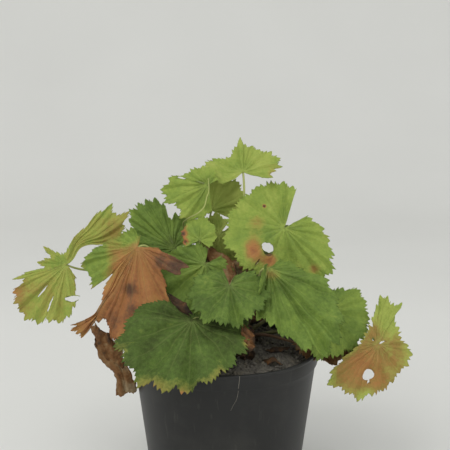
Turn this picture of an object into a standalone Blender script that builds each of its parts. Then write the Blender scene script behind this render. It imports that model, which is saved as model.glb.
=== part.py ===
"""Potted alchemilla (lady's mantle): a nursery pot, its compost, the woody crown, and each leaf and stalk.

Metres, +Z up. The origin is the centre of the pot's foot, on the ground; -Y is the front of the plant.
"""

import math
from collections import namedtuple

import bmesh
import bpy
import numpy as np
from mathutils import Vector

GAP = 0.0003  # clearance between pieces that touch
MERGE_DISTANCE = 0.00005

# Pot
POT_HEIGHT = 0.108
POT_FOOT_RADIUS = 0.0530
POT_WALL_TOP_RADIUS = 0.0655
POT_COLLAR_RADIUS = 0.0668
POT_COLLAR_HEIGHT = 0.0105
POT_RIM_RADIUS = 0.0674
POT_WALL = 0.0014
POT_FLOOR = 0.0016
FOOT_HEIGHT = 0.0030
FOOT_WIDTH = 0.0060
POT_PAD_RADIUS = 0.0240  # the flat pad in the middle of the base, level with the foot ring
POT_STEP_WIDTH = 0.0020
POT_EDGE = 0.0010  # the chamfer on the rim and on the foot
POT_WALL_FOOT = 0.0015  # where the wall starts above the foot's chamfer
COLLAR_UNDERCUT = 0.0006
DRAIN_HOLES = 6
DRAIN_HOLE_RADIUS = 0.0040
DRAIN_HOLE_SIDES = 12
DRAIN_CIRCLE_RADIUS = 0.0340
DRAIN_CUTTER_DEPTH = 0.0200
POT_STEPS = 48

# Compost
COMPOST_EDGE_DROP = 0.0035  # below the rim
COMPOST_SHOULDER = 0.0030  # how far the edge rounds over before it meets the wall
COMPOST_MOUND = 0.0070  # how far the middle stands above the edge
COMPOST_MOUND_RADIUS = 0.0620
COMPOST_RIPPLE = 0.0009
RIPPLES = (90, 105, 170)  # radians a metre, across, along and slanting
COMPOST_RINGS = 8
COMPOST_RING_STEP = 0.0050
COMPOST_STEPS = 40

# Crown: the low woody dome that the leaf stalks grow from
CROWN_RADIUS = 0.0230
CROWN_HEIGHT = 0.0170
CROWN_SEAT_RADIUS = 0.0260
CROWN_SEGMENTS = 20
CROWN_RINGS = 12

# Leaves
BLADE_THICKNESS = 0.0006
LOBE_SAMPLES = 4
LARGE_BLADE = 45  # mm; a longer blade has the finer set of rings
BLADE_RINGS = (0.36, 0.70, 1.0)
SMALL_BLADE_RINGS = (0.50, 1.0)
STALK_FOOT_RADIUS = 0.0014
STALK_TIP_RADIUS = 0.0010
STALK_FOOT_CLEARANCE = 0.0006  # from the crown's surface to the middle of the stalk's foot
STALK_TIP_SEAT = 0.75  # how far the tip's middle lies below the blade, in tip radii
STALK_ARRIVAL = 0.7  # how much the last handle leans to the notch, and as much downwards
STALK_POINTS = 9

# Litter
FLAKE_SIDES = 10
FLAKE_RINGS = (0.0, 0.5, 1.0)
FLAKE_CURL = 0.0030

Leaf = namedtuple("Leaf", "name base face lobes crown notch pleat curl rise bow colour")


def leaf(name, base, face, lobes, crown, notch=0.14, pleat=0.05, curl=0, rise=0.035, bow=0.022,
         colour="green"):
    """One leaf. base is where the stalk meets the blade, and face the azimuth and elevation that its upper
    side looks to. lobes run anticlockwise from the notch: each has its direction on the upper side, counted
    anticlockwise from level, its length in millimetres and its lift out of the face, in degrees. curl bends
    every lobe towards its tip. crown is the (azimuth, tilt) of the stalk's foot; rise and bow are the lengths
    of the stalk's end handles."""
    lobes = [(*lobe, 0)[:3] for lobe in lobes]
    return Leaf(name, base, face, lobes, crown, notch, pleat, curl, rise, bow, colour)


LEAVES = (
    leaf("front_large", (-0.022, -0.042, 0.139), (-95, 48),
         ((122, 16, -25), (157, 45, -14), (190, 53, -4), (228, 55), (264, 53), (300, 52), (335, 42, -4),
          (368, 33, -20), (405, 28, -25)), (-110, 62)),
    leaf("centre", (0.003, -0.040, 0.162), (-95, 40),
         ((122, 13, -20), (157, 22, -12), (194, 28), (229, 31), (265, 31), (301, 29), (336, 26), (372, 24),
          (408, 18, -20)), (-75, 45)),
    leaf("right_front", (0.030, -0.028, 0.171), (-80, 35),
         ((228, 17), (254, 38), (273, 58), (291, 60), (310, 58), (330, 50), (350, 42), (370, 30, -15),
          (400, 18, -20)), (-30, 45)),
    leaf("right_back", (0.072, -0.014, 0.137), (-70, 35),
         ((140, 20, -20), (175, 24, -12), (215, 28), (245, 31), (275, 33), (305, 33), (335, 33), (365, 32),
          (390, 31), (420, 20, -20)), (-5, 60)),
    leaf("upper_right", (0.042, 0.000, 0.194), (-90, 30),
         ((80, 29), (102, 34), (125, 37), (147, 39), (178, 40), (212, 40), (245, 28, -8), (285, 26, -8),
          (318, 42), (336, 38), (355, 32), (376, 22)), (8, 38)),
    leaf("upper_left", (-0.037, 0.011, 0.177), (-100, 20),
         ((40, 22), (76, 30), (97, 18), (118, 39), (145, 42), (170, 36), (205, 26), (245, 17), (290, 12),
          (335, 14, -8)), (175, 48)),
    leaf("mid_left", (-0.014, -0.010, 0.170), (-95, 25),
         ((118, 12), (158, 26), (192, 28), (225, 21), (256, 24), (287, 28), (325, 22), (365, 18)),
         (-130, 52)),
    leaf("orange_left", (-0.062, -0.004, 0.181), (-110, 12),
         ((112, 14), (165, 28), (190, 46), (205, 43), (226, 42), (238, 79), (258, 65), (278, 54), (296, 44),
          (312, 46), (340, 30)), (175, 60), notch=0.25, rise=0.05, colour="orange"),
    leaf("far_left", (-0.115, 0.010, 0.165), (-82, 20),
         ((30, 47), (38, 58), (51, 54), (60, 31), (95, 6), (130, 19), (160, 20), (190, 36), (209, 43),
          (230, 46), (250, 42), (270, 32), (287, 18)), (165, 45), rise=0.08, bow=0.05, colour="yellow"),
    leaf("far_right", (0.107, -0.024, 0.116), (-75, 20),
         ((72, 35), (92, 33), (150, 15), (190, 27), (222, 36), (252, 39), (280, 36), (310, 28), (342, 24),
          (385, 18)), (-12, 75), colour="orange"),
    leaf("top", (0.013, 0.016, 0.232), (-90, 45),
         ((-15, 21), (10, 28), (38, 28), (72, 24), (95, 27), (122, 18), (150, 26), (174, 33), (198, 27),
          (220, 18)), (60, 25)),
    leaf("top_left", (-0.012, 0.006, 0.224), (-90, 10),
         ((62, 12), (100, 12), (132, 15), (160, 25), (184, 30), (206, 27), (228, 24), (250, 21), (275, 15)),
         (140, 40), rise=0.095, bow=0.012),
    leaf("top_shade", (-0.010, 0.021, 0.203), (-90, 10),
         ((18, 14), (42, 21), (62, 26), (80, 28), (98, 27), (118, 14)), (110, 25)),
    leaf("small", (-0.018, -0.005, 0.186), (-90, 20),
         ((-20, 9), (15, 12), (50, 15), (85, 16), (120, 14), (155, 12), (190, 9)), (-175, 35)),
    leaf("behind_small", (-0.004, 0.012, 0.187), (-92, 12),
         ((112, 13), (160, 11), (210, 14), (250, 20), (290, 20), (330, 18), (370, 14)), (75, 12)),
    leaf("dead_left", (-0.075, -0.008, 0.108), (-100, 10),
         ((128, 21), (142, 24), (165, 19), (200, 11), (240, 13), (264, 30), (279, 32), (294, 22)), (-172, 70),
         pleat=0.14, rise=0.03, bow=0.012, colour="brown"),
    leaf("dead_right", (0.056, -0.016, 0.1150), (-80, 66),
         ((220, 8), (300, 12), (328, 20), (348, 26), (368, 22), (395, 12)), (-22, 70), pleat=0.08, curl=-12,
         rise=0.012, bow=0.010, colour="brown"),
    leaf("dead_centre", (-0.015, 0.003, 0.176), (-80, 30),
         ((296, 12), (312, 26), (326, 32), (342, 16)), (-60, 12), pleat=0.08, colour="brown"),
    leaf("dead_inner", (0.032, 0.012, 0.170), (-90, 10),
         ((90, 10), (130, 14), (160, 20), (185, 20), (215, 12), (260, 8)), (45, 30), pleat=0.07,
         colour="brown"),
    leaf("back_large", (0.000, 0.054, 0.146), (90, 48),
         ((125, 20, -20), (160, 36, -10), (195, 44), (230, 46), (267, 48), (304, 44), (338, 36),
          (372, 26, -10), (410, 18, -20)), (92, 60)),
    leaf("back_left", (-0.054, 0.040, 0.154), (132, 42),
         ((125, 14, -20), (160, 22, -10), (195, 30), (230, 34), (267, 38), (304, 37), (340, 28),
          (375, 18, -10), (412, 14, -20)), (120, 50)),
    leaf("back_right", (0.058, 0.030, 0.140), (40, 42),
         ((125, 15, -20), (160, 28, -10), (195, 34), (230, 36), (267, 37), (304, 35), (340, 30),
          (375, 22, -10), (412, 15, -20)), (40, 55)),
    leaf("back_top", (0.026, 0.048, 0.184), (80, 35),
         ((125, 14, -20), (160, 26, -10), (195, 32), (230, 34), (267, 32), (304, 34), (340, 28),
          (375, 22, -10), (412, 14, -20)), (80, 30)),
    leaf("back_low_left", (-0.064, 0.050, 0.122), (140, 30),
         ((125, 14, -20), (160, 24, -10), (195, 30), (230, 34), (267, 32), (304, 34), (340, 28),
          (375, 20, -10), (412, 14, -20)), (140, 78)),
    leaf("back_low_right", (0.046, 0.074, 0.118), (62, 32),
         ((125, 13, -20), (160, 22, -10), (195, 27), (230, 30), (267, 31), (304, 29), (340, 24),
          (375, 18, -10), (412, 13, -20)), (65, 78)),
)

# Flakes of dead leaf lying on the compost: name, centre x and y, direction, half length, half width
FLAKES = (
    ("litter_front", 0.014, -0.038, 80, 0.0100, 0.0050),
    ("litter_right", 0.037, -0.024, 20, 0.0100, 0.0055),
    ("litter_middle", 0.032, -0.042, -30, 0.0065, 0.0045),
)

COLOURS = {
    "green": (0.13, 0.22, 0.05),
    "yellow": (0.38, 0.36, 0.09),
    "orange": (0.42, 0.20, 0.06),
    "brown": (0.13, 0.07, 0.035),
    "stalk": (0.20, 0.24, 0.07),
    "pot": (0.025, 0.025, 0.024),
    "compost": (0.018, 0.012, 0.009),
    "crown": (0.06, 0.03, 0.018),
}


def clear_scene():
    for old in list(bpy.data.objects):
        bpy.data.objects.remove(old)


def new_collection(name):
    collection = bpy.data.collections.new(name)
    bpy.context.scene.collection.children.link(collection)
    return collection


def material(name, roughness=0.6):
    """One Principled material for each named colour, made once."""
    found = bpy.data.materials.get(name)
    if found:
        return found
    made = bpy.data.materials.new(name)
    made.use_nodes = True
    shader = made.node_tree.nodes["Principled BSDF"]
    shader.inputs["Base Color"].default_value = (*COLOURS[name], 1)
    shader.inputs["Roughness"].default_value = roughness
    shader.inputs["Metallic"].default_value = 0
    return made


def add_object(name, data, collection, colour, roughness=0.6):
    piece = bpy.data.objects.new(name, data)
    collection.objects.link(piece)
    data.materials.append(material(colour, roughness))
    return piece


def turned(name, profile, collection, colour, steps, roughness=0.6):
    """A closed solid of revolution. The profile runs from the axis, down the outside and back to the axis."""
    mesh = bpy.data.meshes.new(name)
    edges = [(i, i + 1) for i in range(len(profile) - 1)]
    mesh.from_pydata([(radius, 0, height) for radius, height in profile], edges, [])
    piece = add_object(name, mesh, collection, colour, roughness)
    screw = piece.modifiers.new("Turn", "SCREW")
    screw.steps = steps
    screw.render_steps = steps
    screw.use_merge_vertices = True
    screw.merge_threshold = MERGE_DISTANCE
    screw.use_normal_calculate = False
    return piece


def applied(piece):
    """The piece as a plain mesh, with its modifiers made real."""
    bpy.context.view_layer.update()
    graph = bpy.context.evaluated_depsgraph_get()
    mesh = bpy.data.meshes.new_from_object(piece.evaluated_get(graph))
    piece.modifiers.clear()
    piece.data = mesh
    return piece


def wall_radius(height):
    """The pot's outer wall radius at a height, below the collar."""
    share = height / (POT_HEIGHT - POT_COLLAR_HEIGHT)
    return POT_FOOT_RADIUS + (POT_WALL_TOP_RADIUS - POT_FOOT_RADIUS) * share


def make_pot(parts, cutters):
    collar_foot = POT_HEIGHT - POT_COLLAR_HEIGHT
    inner = POT_WALL
    profile = [
        (0, POT_FLOOR),
        (POT_PAD_RADIUS, POT_FLOOR),
        (POT_PAD_RADIUS + POT_STEP_WIDTH, FOOT_HEIGHT + POT_FLOOR),
        (wall_radius(FOOT_HEIGHT) - inner, FOOT_HEIGHT + POT_FLOOR),
        (POT_WALL_TOP_RADIUS - inner, collar_foot),
        (POT_RIM_RADIUS - 2 * inner, POT_HEIGHT - POT_EDGE),
        (POT_RIM_RADIUS - 1.5 * inner, POT_HEIGHT),
        (POT_RIM_RADIUS - 0.4 * inner, POT_HEIGHT),
        (POT_RIM_RADIUS, POT_HEIGHT - POT_EDGE),
        (POT_COLLAR_RADIUS, collar_foot),
        (POT_WALL_TOP_RADIUS, collar_foot - COLLAR_UNDERCUT),
        (wall_radius(POT_WALL_FOOT), POT_WALL_FOOT),
        (POT_FOOT_RADIUS - POT_EDGE, 0),
        (POT_FOOT_RADIUS - FOOT_WIDTH, 0),
        (POT_FOOT_RADIUS - FOOT_WIDTH - POT_EDGE, FOOT_HEIGHT),
        (POT_PAD_RADIUS + POT_STEP_WIDTH, FOOT_HEIGHT),
        (POT_PAD_RADIUS, 0),
        (0, 0),
    ]
    pot = turned("pot", profile, parts, "pot", POT_STEPS, 0.45)
    for i in range(DRAIN_HOLES):
        angle = math.tau * (i + 0.5) / DRAIN_HOLES
        bpy.ops.mesh.primitive_cylinder_add(
            vertices=DRAIN_HOLE_SIDES, radius=DRAIN_HOLE_RADIUS, depth=DRAIN_CUTTER_DEPTH,
            location=(DRAIN_CIRCLE_RADIUS * math.cos(angle), DRAIN_CIRCLE_RADIUS * math.sin(angle),
                      FOOT_HEIGHT))
        cutter = bpy.context.object
        cutter.name = f"drain_cutter_{i}"
        cutter.display_type = "WIRE"
        cutter.hide_render = True
        for used in list(cutter.users_collection):
            used.objects.unlink(cutter)
        cutters.objects.link(cutter)
        cut = pot.modifiers.new(cutter.name, "BOOLEAN")
        cut.operation = "DIFFERENCE"
        cut.object = cutter
    return pot


def compost_edge_height():
    return POT_HEIGHT - COMPOST_EDGE_DROP


def compost_height(x, y):
    """The compost's surface: a low mound, level under the crown, with shallow ripples elsewhere."""
    radius = math.hypot(x, y)
    share = min(1.0, max(0.0, (radius - CROWN_SEAT_RADIUS) / (COMPOST_MOUND_RADIUS - CROWN_SEAT_RADIUS)))
    across, along, slanting = RIPPLES
    ripple = math.sin(across * x + 1.3) * math.cos(along * y - 0.4) + 0.6 * math.sin(slanting * (x + y))
    mound = COMPOST_MOUND * math.cos(share * math.pi / 2)
    return compost_edge_height() + mound + COMPOST_RIPPLE * ripple * math.sin(math.pi * share)


def make_compost(parts):
    floor_top = FOOT_HEIGHT + POT_FLOOR + GAP
    top = compost_edge_height()
    side = POT_WALL + GAP
    profile = [(0, top)]
    profile += [(CROWN_SEAT_RADIUS + COMPOST_RING_STEP * i, top) for i in range(COMPOST_RINGS)]
    profile += [
        (POT_WALL_TOP_RADIUS - side, top - COMPOST_SHOULDER),
        (POT_WALL_TOP_RADIUS - side - GAP, POT_HEIGHT - POT_COLLAR_HEIGHT - GAP),
        (wall_radius(FOOT_HEIGHT) - side, floor_top),
        (POT_PAD_RADIUS + POT_STEP_WIDTH - GAP, floor_top),
        (POT_PAD_RADIUS - GAP, floor_top - FOOT_HEIGHT),
        (0, floor_top - FOOT_HEIGHT),
    ]
    compost = applied(turned("compost", profile, parts, "compost", COMPOST_STEPS, 0.95))
    for vertex in compost.data.vertices:
        if vertex.co.z > top - GAP:
            vertex.co.z = compost_height(vertex.co.x, vertex.co.y)
    return compost


def crown_base():
    return compost_height(0, 0) + GAP


def crown_point(azimuth, tilt, outwards=0.0):
    """A point on the crown's dome and the direction straight out of it. Tilt is measured from the top."""
    turn, lean = math.radians(azimuth), math.radians(tilt)
    across = Vector((math.cos(turn), math.sin(turn), 0))
    point = across * CROWN_RADIUS * math.sin(lean) + Vector((0, 0, CROWN_HEIGHT * math.cos(lean)))
    out = across * math.sin(lean) / CROWN_RADIUS + Vector((0, 0, math.cos(lean) / CROWN_HEIGHT))
    out.normalize()
    return point + Vector((0, 0, crown_base())) + out * outwards, out


def make_crown(parts):
    mesh = bpy.data.meshes.new("crown")
    shape = bmesh.new()
    bmesh.ops.create_uvsphere(shape, u_segments=CROWN_SEGMENTS, v_segments=CROWN_RINGS, radius=1)
    for vertex in shape.verts:
        x, y, z = vertex.co
        vertex.co = (x * CROWN_RADIUS, y * CROWN_RADIUS, max(z, 0) * CROWN_HEIGHT + crown_base())
    shape.to_mesh(mesh)
    shape.free()
    return add_object("crown", mesh, parts, "crown", 0.9)


def leaf_axes(item):
    """The blade's level, up-slope and upper-face directions."""
    turn, rise = (math.radians(x) for x in item.face)
    upper = Vector((math.cos(rise) * math.cos(turn), math.cos(rise) * math.sin(turn), math.sin(rise)))
    level = Vector((0, 0, 1)).cross(upper).normalized()
    return level, upper.cross(level), upper


def between_lobes(values, place):
    """A lobe's value, eased from one lobe's middle to the next. place runs from 0 to the number of lobes."""
    values = np.array(values, float)
    position = np.clip(place - 0.5, 0, len(values) - 1)
    first = np.minimum(position.astype(int), len(values) - 2)
    share = position - first
    ease = share * share * (3 - 2 * share)
    return values[first] * (1 - ease) + values[first + 1] * ease


def blade_point_grid(item, place, share):
    """Points on the blade. place runs along the margin, one unit a lobe; share (0 to 1) runs out from the
    stalk. Each radial line is an arc that starts at the lobe's lift and turns by the leaf's curl."""
    level, slope, upper = (np.array(v) for v in leaf_axes(item))
    headings, lengths, lifts = (np.array(values, float) for values in zip(*item.lobes))
    middles = np.arange(len(headings)) + 0.5
    ends = (2 * headings[0] - headings[1], *headings, 2 * headings[-1] - headings[-2])
    angle = np.radians(np.interp(place, (-0.5, *middles, len(headings) + 0.5), ends))
    across = np.abs(2 * (place % 1.0) - 1)
    length = between_lobes(lengths, place) / 1000 * (1 - item.notch * across ** 2.2)
    lift = np.radians(between_lobes(lifts, place))
    curl = math.radians(item.curl + 0.01)
    turned_by = lift + curl * share
    run = length / curl * (np.sin(turned_by) - np.sin(lift))
    rise = length / curl * (np.cos(lift) - np.cos(turned_by))
    fold = item.pleat * length * share * np.cos(2 * np.pi * place)
    run = run - np.sin(turned_by) * fold
    rise = rise + np.cos(turned_by) * fold
    out = np.cos(angle)[..., None] * level + np.sin(angle)[..., None] * slope
    return np.array(item.base) + run[..., None] * out + rise[..., None] * upper


def make_blade(item, parts):
    """The blade: a fan of lobed rings about the stalk's end, given a leaf's thickness downwards."""
    lobes = len(item.lobes)
    count = lobes * LOBE_SAMPLES + 1
    place = np.linspace(0, lobes, count)
    shares = BLADE_RINGS if max(lobe[1] for lobe in item.lobes) > LARGE_BLADE else SMALL_BLADE_RINGS
    rings = [blade_point_grid(item, place, np.full(count, share)) for share in shares]
    points = [item.base] + [tuple(point) for ring in rings for point in ring]
    faces = [(0, 1 + i, 2 + i) for i in range(count - 1)]
    for ring in range(len(shares) - 1):
        inner, outer = 1 + ring * count, 1 + (ring + 1) * count
        faces += [(inner + i, outer + i, outer + i + 1, inner + i + 1) for i in range(count - 1)]
    mesh = bpy.data.meshes.new(f"blade_{item.name}")
    mesh.from_pydata(points, [], faces)
    blade = add_object(f"blade_{item.name}", mesh, parts, item.colour, 0.55)
    skin = blade.modifiers.new("Thickness", "SOLIDIFY")
    skin.thickness = BLADE_THICKNESS
    skin.offset = -1
    return blade


def notch_direction(item):
    """The direction of the notch, halfway round the gap between the last lobe and the first."""
    level, slope, _ = leaf_axes(item)
    middle = math.radians((item.lobes[0][0] + item.lobes[-1][0] - 360) / 2)
    return level * math.cos(middle) + slope * math.sin(middle)


def stalk_route(item):
    """A cubic from the crown to just under the blade's stalk point, arriving from the notch side."""
    _, _, upper = leaf_axes(item)
    notch = notch_direction(item)
    foot, out = crown_point(*item.crown, outwards=STALK_FOOT_CLEARANCE)
    under = BLADE_THICKNESS + GAP + STALK_TIP_SEAT * STALK_TIP_RADIUS
    tip = Vector(item.base) - upper * under - notch * STALK_TIP_RADIUS
    first = foot + out * item.rise
    last = tip + (notch - upper) * STALK_ARRIVAL * item.bow
    points = []
    for i in range(STALK_POINTS):
        t = i / (STALK_POINTS - 1)
        points.append(foot * (1 - t) ** 3 + first * 3 * t * (1 - t) ** 2
                      + last * 3 * t * t * (1 - t) + tip * t ** 3)
    return points


def make_stalk(item, parts):
    curve = bpy.data.curves.new(f"stalk_{item.name}", "CURVE")
    curve.dimensions = "3D"
    curve.bevel_depth = 1.0
    curve.bevel_resolution = 1
    curve.use_fill_caps = True
    route = stalk_route(item)
    spline = curve.splines.new("POLY")
    spline.points.add(len(route) - 1)
    for i, (point, place) in enumerate(zip(spline.points, route)):
        share = i / (len(route) - 1)
        point.co = (*place, 1)
        point.radius = STALK_FOOT_RADIUS + (STALK_TIP_RADIUS - STALK_FOOT_RADIUS) * share
    return add_object(f"stalk_{item.name}", curve, parts, "stalk", 0.5)


def make_flake(name, x, y, direction, half_length, half_width, parts):
    """A flake of dead leaf: a pointed disc laid on the compost, its ends curled up."""
    turn = math.radians(direction)
    along = (math.cos(turn), math.sin(turn))
    points = []
    for share in FLAKE_RINGS:
        for i in range(FLAKE_SIDES):
            angle = math.tau * i / FLAKE_SIDES
            u = half_length * share * math.cos(angle)
            v = half_width * share * math.sin(angle)
            px = x + along[0] * u - along[1] * v
            py = y + along[1] * u + along[0] * v
            lift = FLAKE_CURL * (share * math.cos(angle)) ** 2
            points.append((px, py, compost_height(px, py) + BLADE_THICKNESS + 2 * GAP + lift))
    faces = []
    for ring in range(len(FLAKE_RINGS) - 1):
        for i in range(FLAKE_SIDES):
            j = (i + 1) % FLAKE_SIDES
            inner, outer = ring * FLAKE_SIDES, (ring + 1) * FLAKE_SIDES
            faces.append((inner + i, outer + i, outer + j, inner + j))
    mesh = bpy.data.meshes.new(name)
    mesh.from_pydata(points, [], faces)
    shape = bmesh.new()
    shape.from_mesh(mesh)
    bmesh.ops.remove_doubles(shape, verts=shape.verts, dist=MERGE_DISTANCE)
    shape.to_mesh(mesh)
    shape.free()
    flake = add_object(name, mesh, parts, "brown", 0.9)
    skin = flake.modifiers.new("Thickness", "SOLIDIFY")
    skin.thickness = BLADE_THICKNESS
    skin.offset = -1
    return flake


def main():
    clear_scene()
    parts = new_collection("potted_alchemilla")
    cutters = new_collection("cutters")
    make_pot(parts, cutters)
    make_compost(parts)
    make_crown(parts)
    for item in LEAVES:
        make_blade(item, parts)
        make_stalk(item, parts)
    for flake in FLAKES:
        make_flake(*flake, parts)


main()
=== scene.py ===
"""Looks of a potted alchemilla, lady's mantle, in a black nursery pot.

Metres, +Z up, -Y towards the camera. Nearly every surface is worked out with numpy, on a grid of two
parameters.
"""

import math
from contextlib import contextmanager
from dataclasses import dataclass, field
from functools import partial
from itertools import combinations

import bmesh
import bpy
import numpy as np
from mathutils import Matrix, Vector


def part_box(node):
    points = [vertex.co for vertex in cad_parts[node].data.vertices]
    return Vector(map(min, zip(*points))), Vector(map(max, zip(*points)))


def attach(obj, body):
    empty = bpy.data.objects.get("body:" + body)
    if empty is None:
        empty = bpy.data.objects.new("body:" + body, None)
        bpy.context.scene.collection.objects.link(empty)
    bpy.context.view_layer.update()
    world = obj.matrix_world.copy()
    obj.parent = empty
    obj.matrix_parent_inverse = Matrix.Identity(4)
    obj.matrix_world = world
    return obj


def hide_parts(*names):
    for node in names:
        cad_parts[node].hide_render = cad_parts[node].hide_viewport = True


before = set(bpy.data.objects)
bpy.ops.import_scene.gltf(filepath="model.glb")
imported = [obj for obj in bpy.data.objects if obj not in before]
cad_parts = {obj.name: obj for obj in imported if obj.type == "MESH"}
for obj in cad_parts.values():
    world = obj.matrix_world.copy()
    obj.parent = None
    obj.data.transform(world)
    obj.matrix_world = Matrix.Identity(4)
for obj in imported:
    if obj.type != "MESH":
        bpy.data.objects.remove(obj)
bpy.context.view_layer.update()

MM = 0.001
SEED = 7

# ---- Places and sizes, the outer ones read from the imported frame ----

POT_LOW, POT_HIGH = (np.array(corner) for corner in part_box("pot"))
CROWN_LOW, CROWN_HIGH = (np.array(corner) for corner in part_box("crown"))

RIM_Z = POT_HIGH[2]
RIM_RADIUS = (POT_HIGH[0] - POT_LOW[0]) / 2
CROWN_RADIUS = (CROWN_HIGH[0] - CROWN_LOW[0]) / 2
CROWN_BASE = CROWN_LOW[2]
CROWN_HEIGHT = CROWN_HIGH[2] - CROWN_BASE

RIM_BEAD = 0.8 * MM
COLLAR_HEIGHT = 10.5 * MM
COLLAR_RADIUS = RIM_RADIUS - 0.6 * MM
WALL_TOP_RADIUS = RIM_RADIUS - 1.9 * MM
FOOT_RADIUS = 53.0 * MM
POT_WALL = 1.4 * MM
FLOOR_THICKNESS = 1.6 * MM
FOOT_HEIGHT = 3.0 * MM
FOOT_WIDTH = 6.0 * MM
FLOOR_TOP = FOOT_HEIGHT + FLOOR_THICKNESS
PAD_RADIUS = 24.0 * MM
PAD_STEP = 2.0 * MM
DRAIN_HOLES = 6
DRAIN_RADIUS = 4.0 * MM
DRAIN_CIRCLE = 34.0 * MM
COMPOST_RADIUS = 62.0 * MM
COMPOST_EDGE = RIM_Z - 3.5 * MM
COMPOST_MOUND = 7.0 * MM
CROWN_SEAT = 26.0 * MM
CRUMBS = 1500
CRUMB_SPREAD = 61.0 * MM
WELD_DISTANCE = 0.01 * MM

# How many sides stand for a circle, and the angle from which an edge of the pot is sharp
POT_SIDES = 144
DRAIN_SIDES = 28
COMPOST_SIDES = 180
CROWN_SIDES = 72
SHARP_ANGLE = math.radians(32)

BLADE_THICKNESS = 0.45 * MM
STALK_FOOT_RADIUS = 1.4 * MM
STALK_TIP_RADIUS = 0.8 * MM
STALK_SIDES = 10
STALK_STEPS = 28
THREAD_STEPS = 60

# A leaf's own detail. WANDER_LENGTH is how far apart a vein's bends and the margin's jags are
RING_SPACING = 1.7 * MM
TOOTH_PITCH = 3.3 * MM
TOOTH_STEPS = 5
TOOTH_RISE = 0.65
FINE_STEPS = 30
VEIN_MESH = 2.0 * MM
VEIN_WIDTH = 0.55 * MM
VEIN_DEPTH = 0.32 * MM
VEIN_WANDER = 0.9 * MM
SIDE_VEIN_SPACING = 6.0 * MM
DOME_HEIGHT = 0.35 * MM
JAG_HEIGHT = 0.5 * MM
WANDER_LENGTH = 9 * MM
CUT_SHARPNESS = 2.2
WAVE_LENGTH = 22 * MM
RUFFLE_LENGTH = 10 * MM
CRINKLE_LENGTH = 7 * MM
CRINKLE_HEIGHT = 0.35 * MM
PATCH_LENGTH = 14 * MM
# Each piece's number seeds its noise. Leaves are numbered from 0 and withered pieces from here
WITHERED_INDEX = 60

# The stage is a floor that sweeps up into a backdrop. LAMPS are (name, place, watts), LOOK_DOWN is in
# degrees, and LENS and SENSOR are in mm
FLOOR_FRONT = -1.6
FLOOR_BACK = 1.1
SWEEP_RADIUS = 0.8
BACKDROP_TOP = 2.6
STAGE_HALF_WIDTH = 2.6
LAMPS = (("key", (-0.7, -1.1, 1.5), 14), ("fill", (1.2, -0.9, 0.7), 4))
LAMP_SIZE = 1.2
LAMP_AIM = (0, 0, 0.15)
SKY_COLOUR = "#f2f3f3"
SKY_STRENGTH = 0.86
EYE = (0, -0.620, 0.3066)
LOOK_DOWN = 10.11
LENS = 71.17
SENSOR = 36

# Leaf colours: shaded green to lime, then the yellow, orange and brown that a leaf fades through
LIVING_COLOURS = ((0.0, "#37451a"), (0.25, "#4e6429"), (0.5, "#6a8137"), (0.75, "#839641"), (1.0, "#9aa650"))
FADING_COLOURS = ((0.0, "#8c9245"), (0.22, "#999146"), (0.38, "#8f793e"), (0.52, "#a27442"),
                  (0.66, "#98653e"), (0.82, "#6b4a36"), (1.0, "#46342b"))
# How strongly each side shows its veins and its greyish down, and its relief in mm
UPPER_SIDE = {"vein": 0.12, "wash": 0.0, "bump": -0.55}
UNDER_SIDE = {"vein": 0.38, "wash": 0.35, "bump": 0.45}

# ---- The leaves ----


@dataclass
class Leaf:
    """One leaf. Directions on its blade are degrees anticlockwise, and its lobes start beside the notch."""
    name: str
    base: tuple             # where the stalk meets the blade, in metres
    face: tuple             # azimuth and elevation that the upper side looks to, and the notch's direction
    lobes: tuple            # (direction, length mm, lift, curl), where lift and curl may be left out
    foot: tuple             # the stalk's (azimuth, tilt) on the crown
    cut: float = 0.08       # share of the length that is lost between two lobes
    cuts: dict = field(default_factory=dict)    # (share, sharpness) for the gap before a lobe
    pinches: tuple = ()     # (first lobe, last lobe, direction, mm out, width mm, strength) drawn together
    pleat: float = 0.03     # how deep it is folded along each lobe, against its size
    rise: float = 0.035     # how far the stalk heads straight out of the crown, in metres
    bow: float = 0.022      # how far it comes straight at the blade, in metres
    tint: float = 0.4       # dark green to lime, and on a dead leaf nearly black to straw
    age: float = 0.0        # living to dead
    edge: float = 0.02      # age added at the margin
    patches: tuple = ()     # (direction, mm out, radius mm, age added)
    holes: tuple = ()       # (direction, mm out, half its width and half its length in mm)
    ruffle: float = 1.6     # strength of its waves, in mm
    tooth: float = 2.6      # height of its teeth, in mm
    slot: str = "leaf_green"


# Directions and lifts, in degrees, of the twelve lobes of a leaf at the back
HEADINGS = (120, 150, 178, 204, 229, 254, 279, 304, 329, 354, 380, 412)
LIFTS = (-20, -10, 2, -2, 2, -2, 2, -2, 2, -3, -12, -20)


def even_lobes(*lengths):
    """Twelve lobes of these lengths in mm, spread evenly: raised and lowered in turn, down at the notch."""
    return tuple(zip(HEADINGS, lengths, LIFTS))


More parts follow.
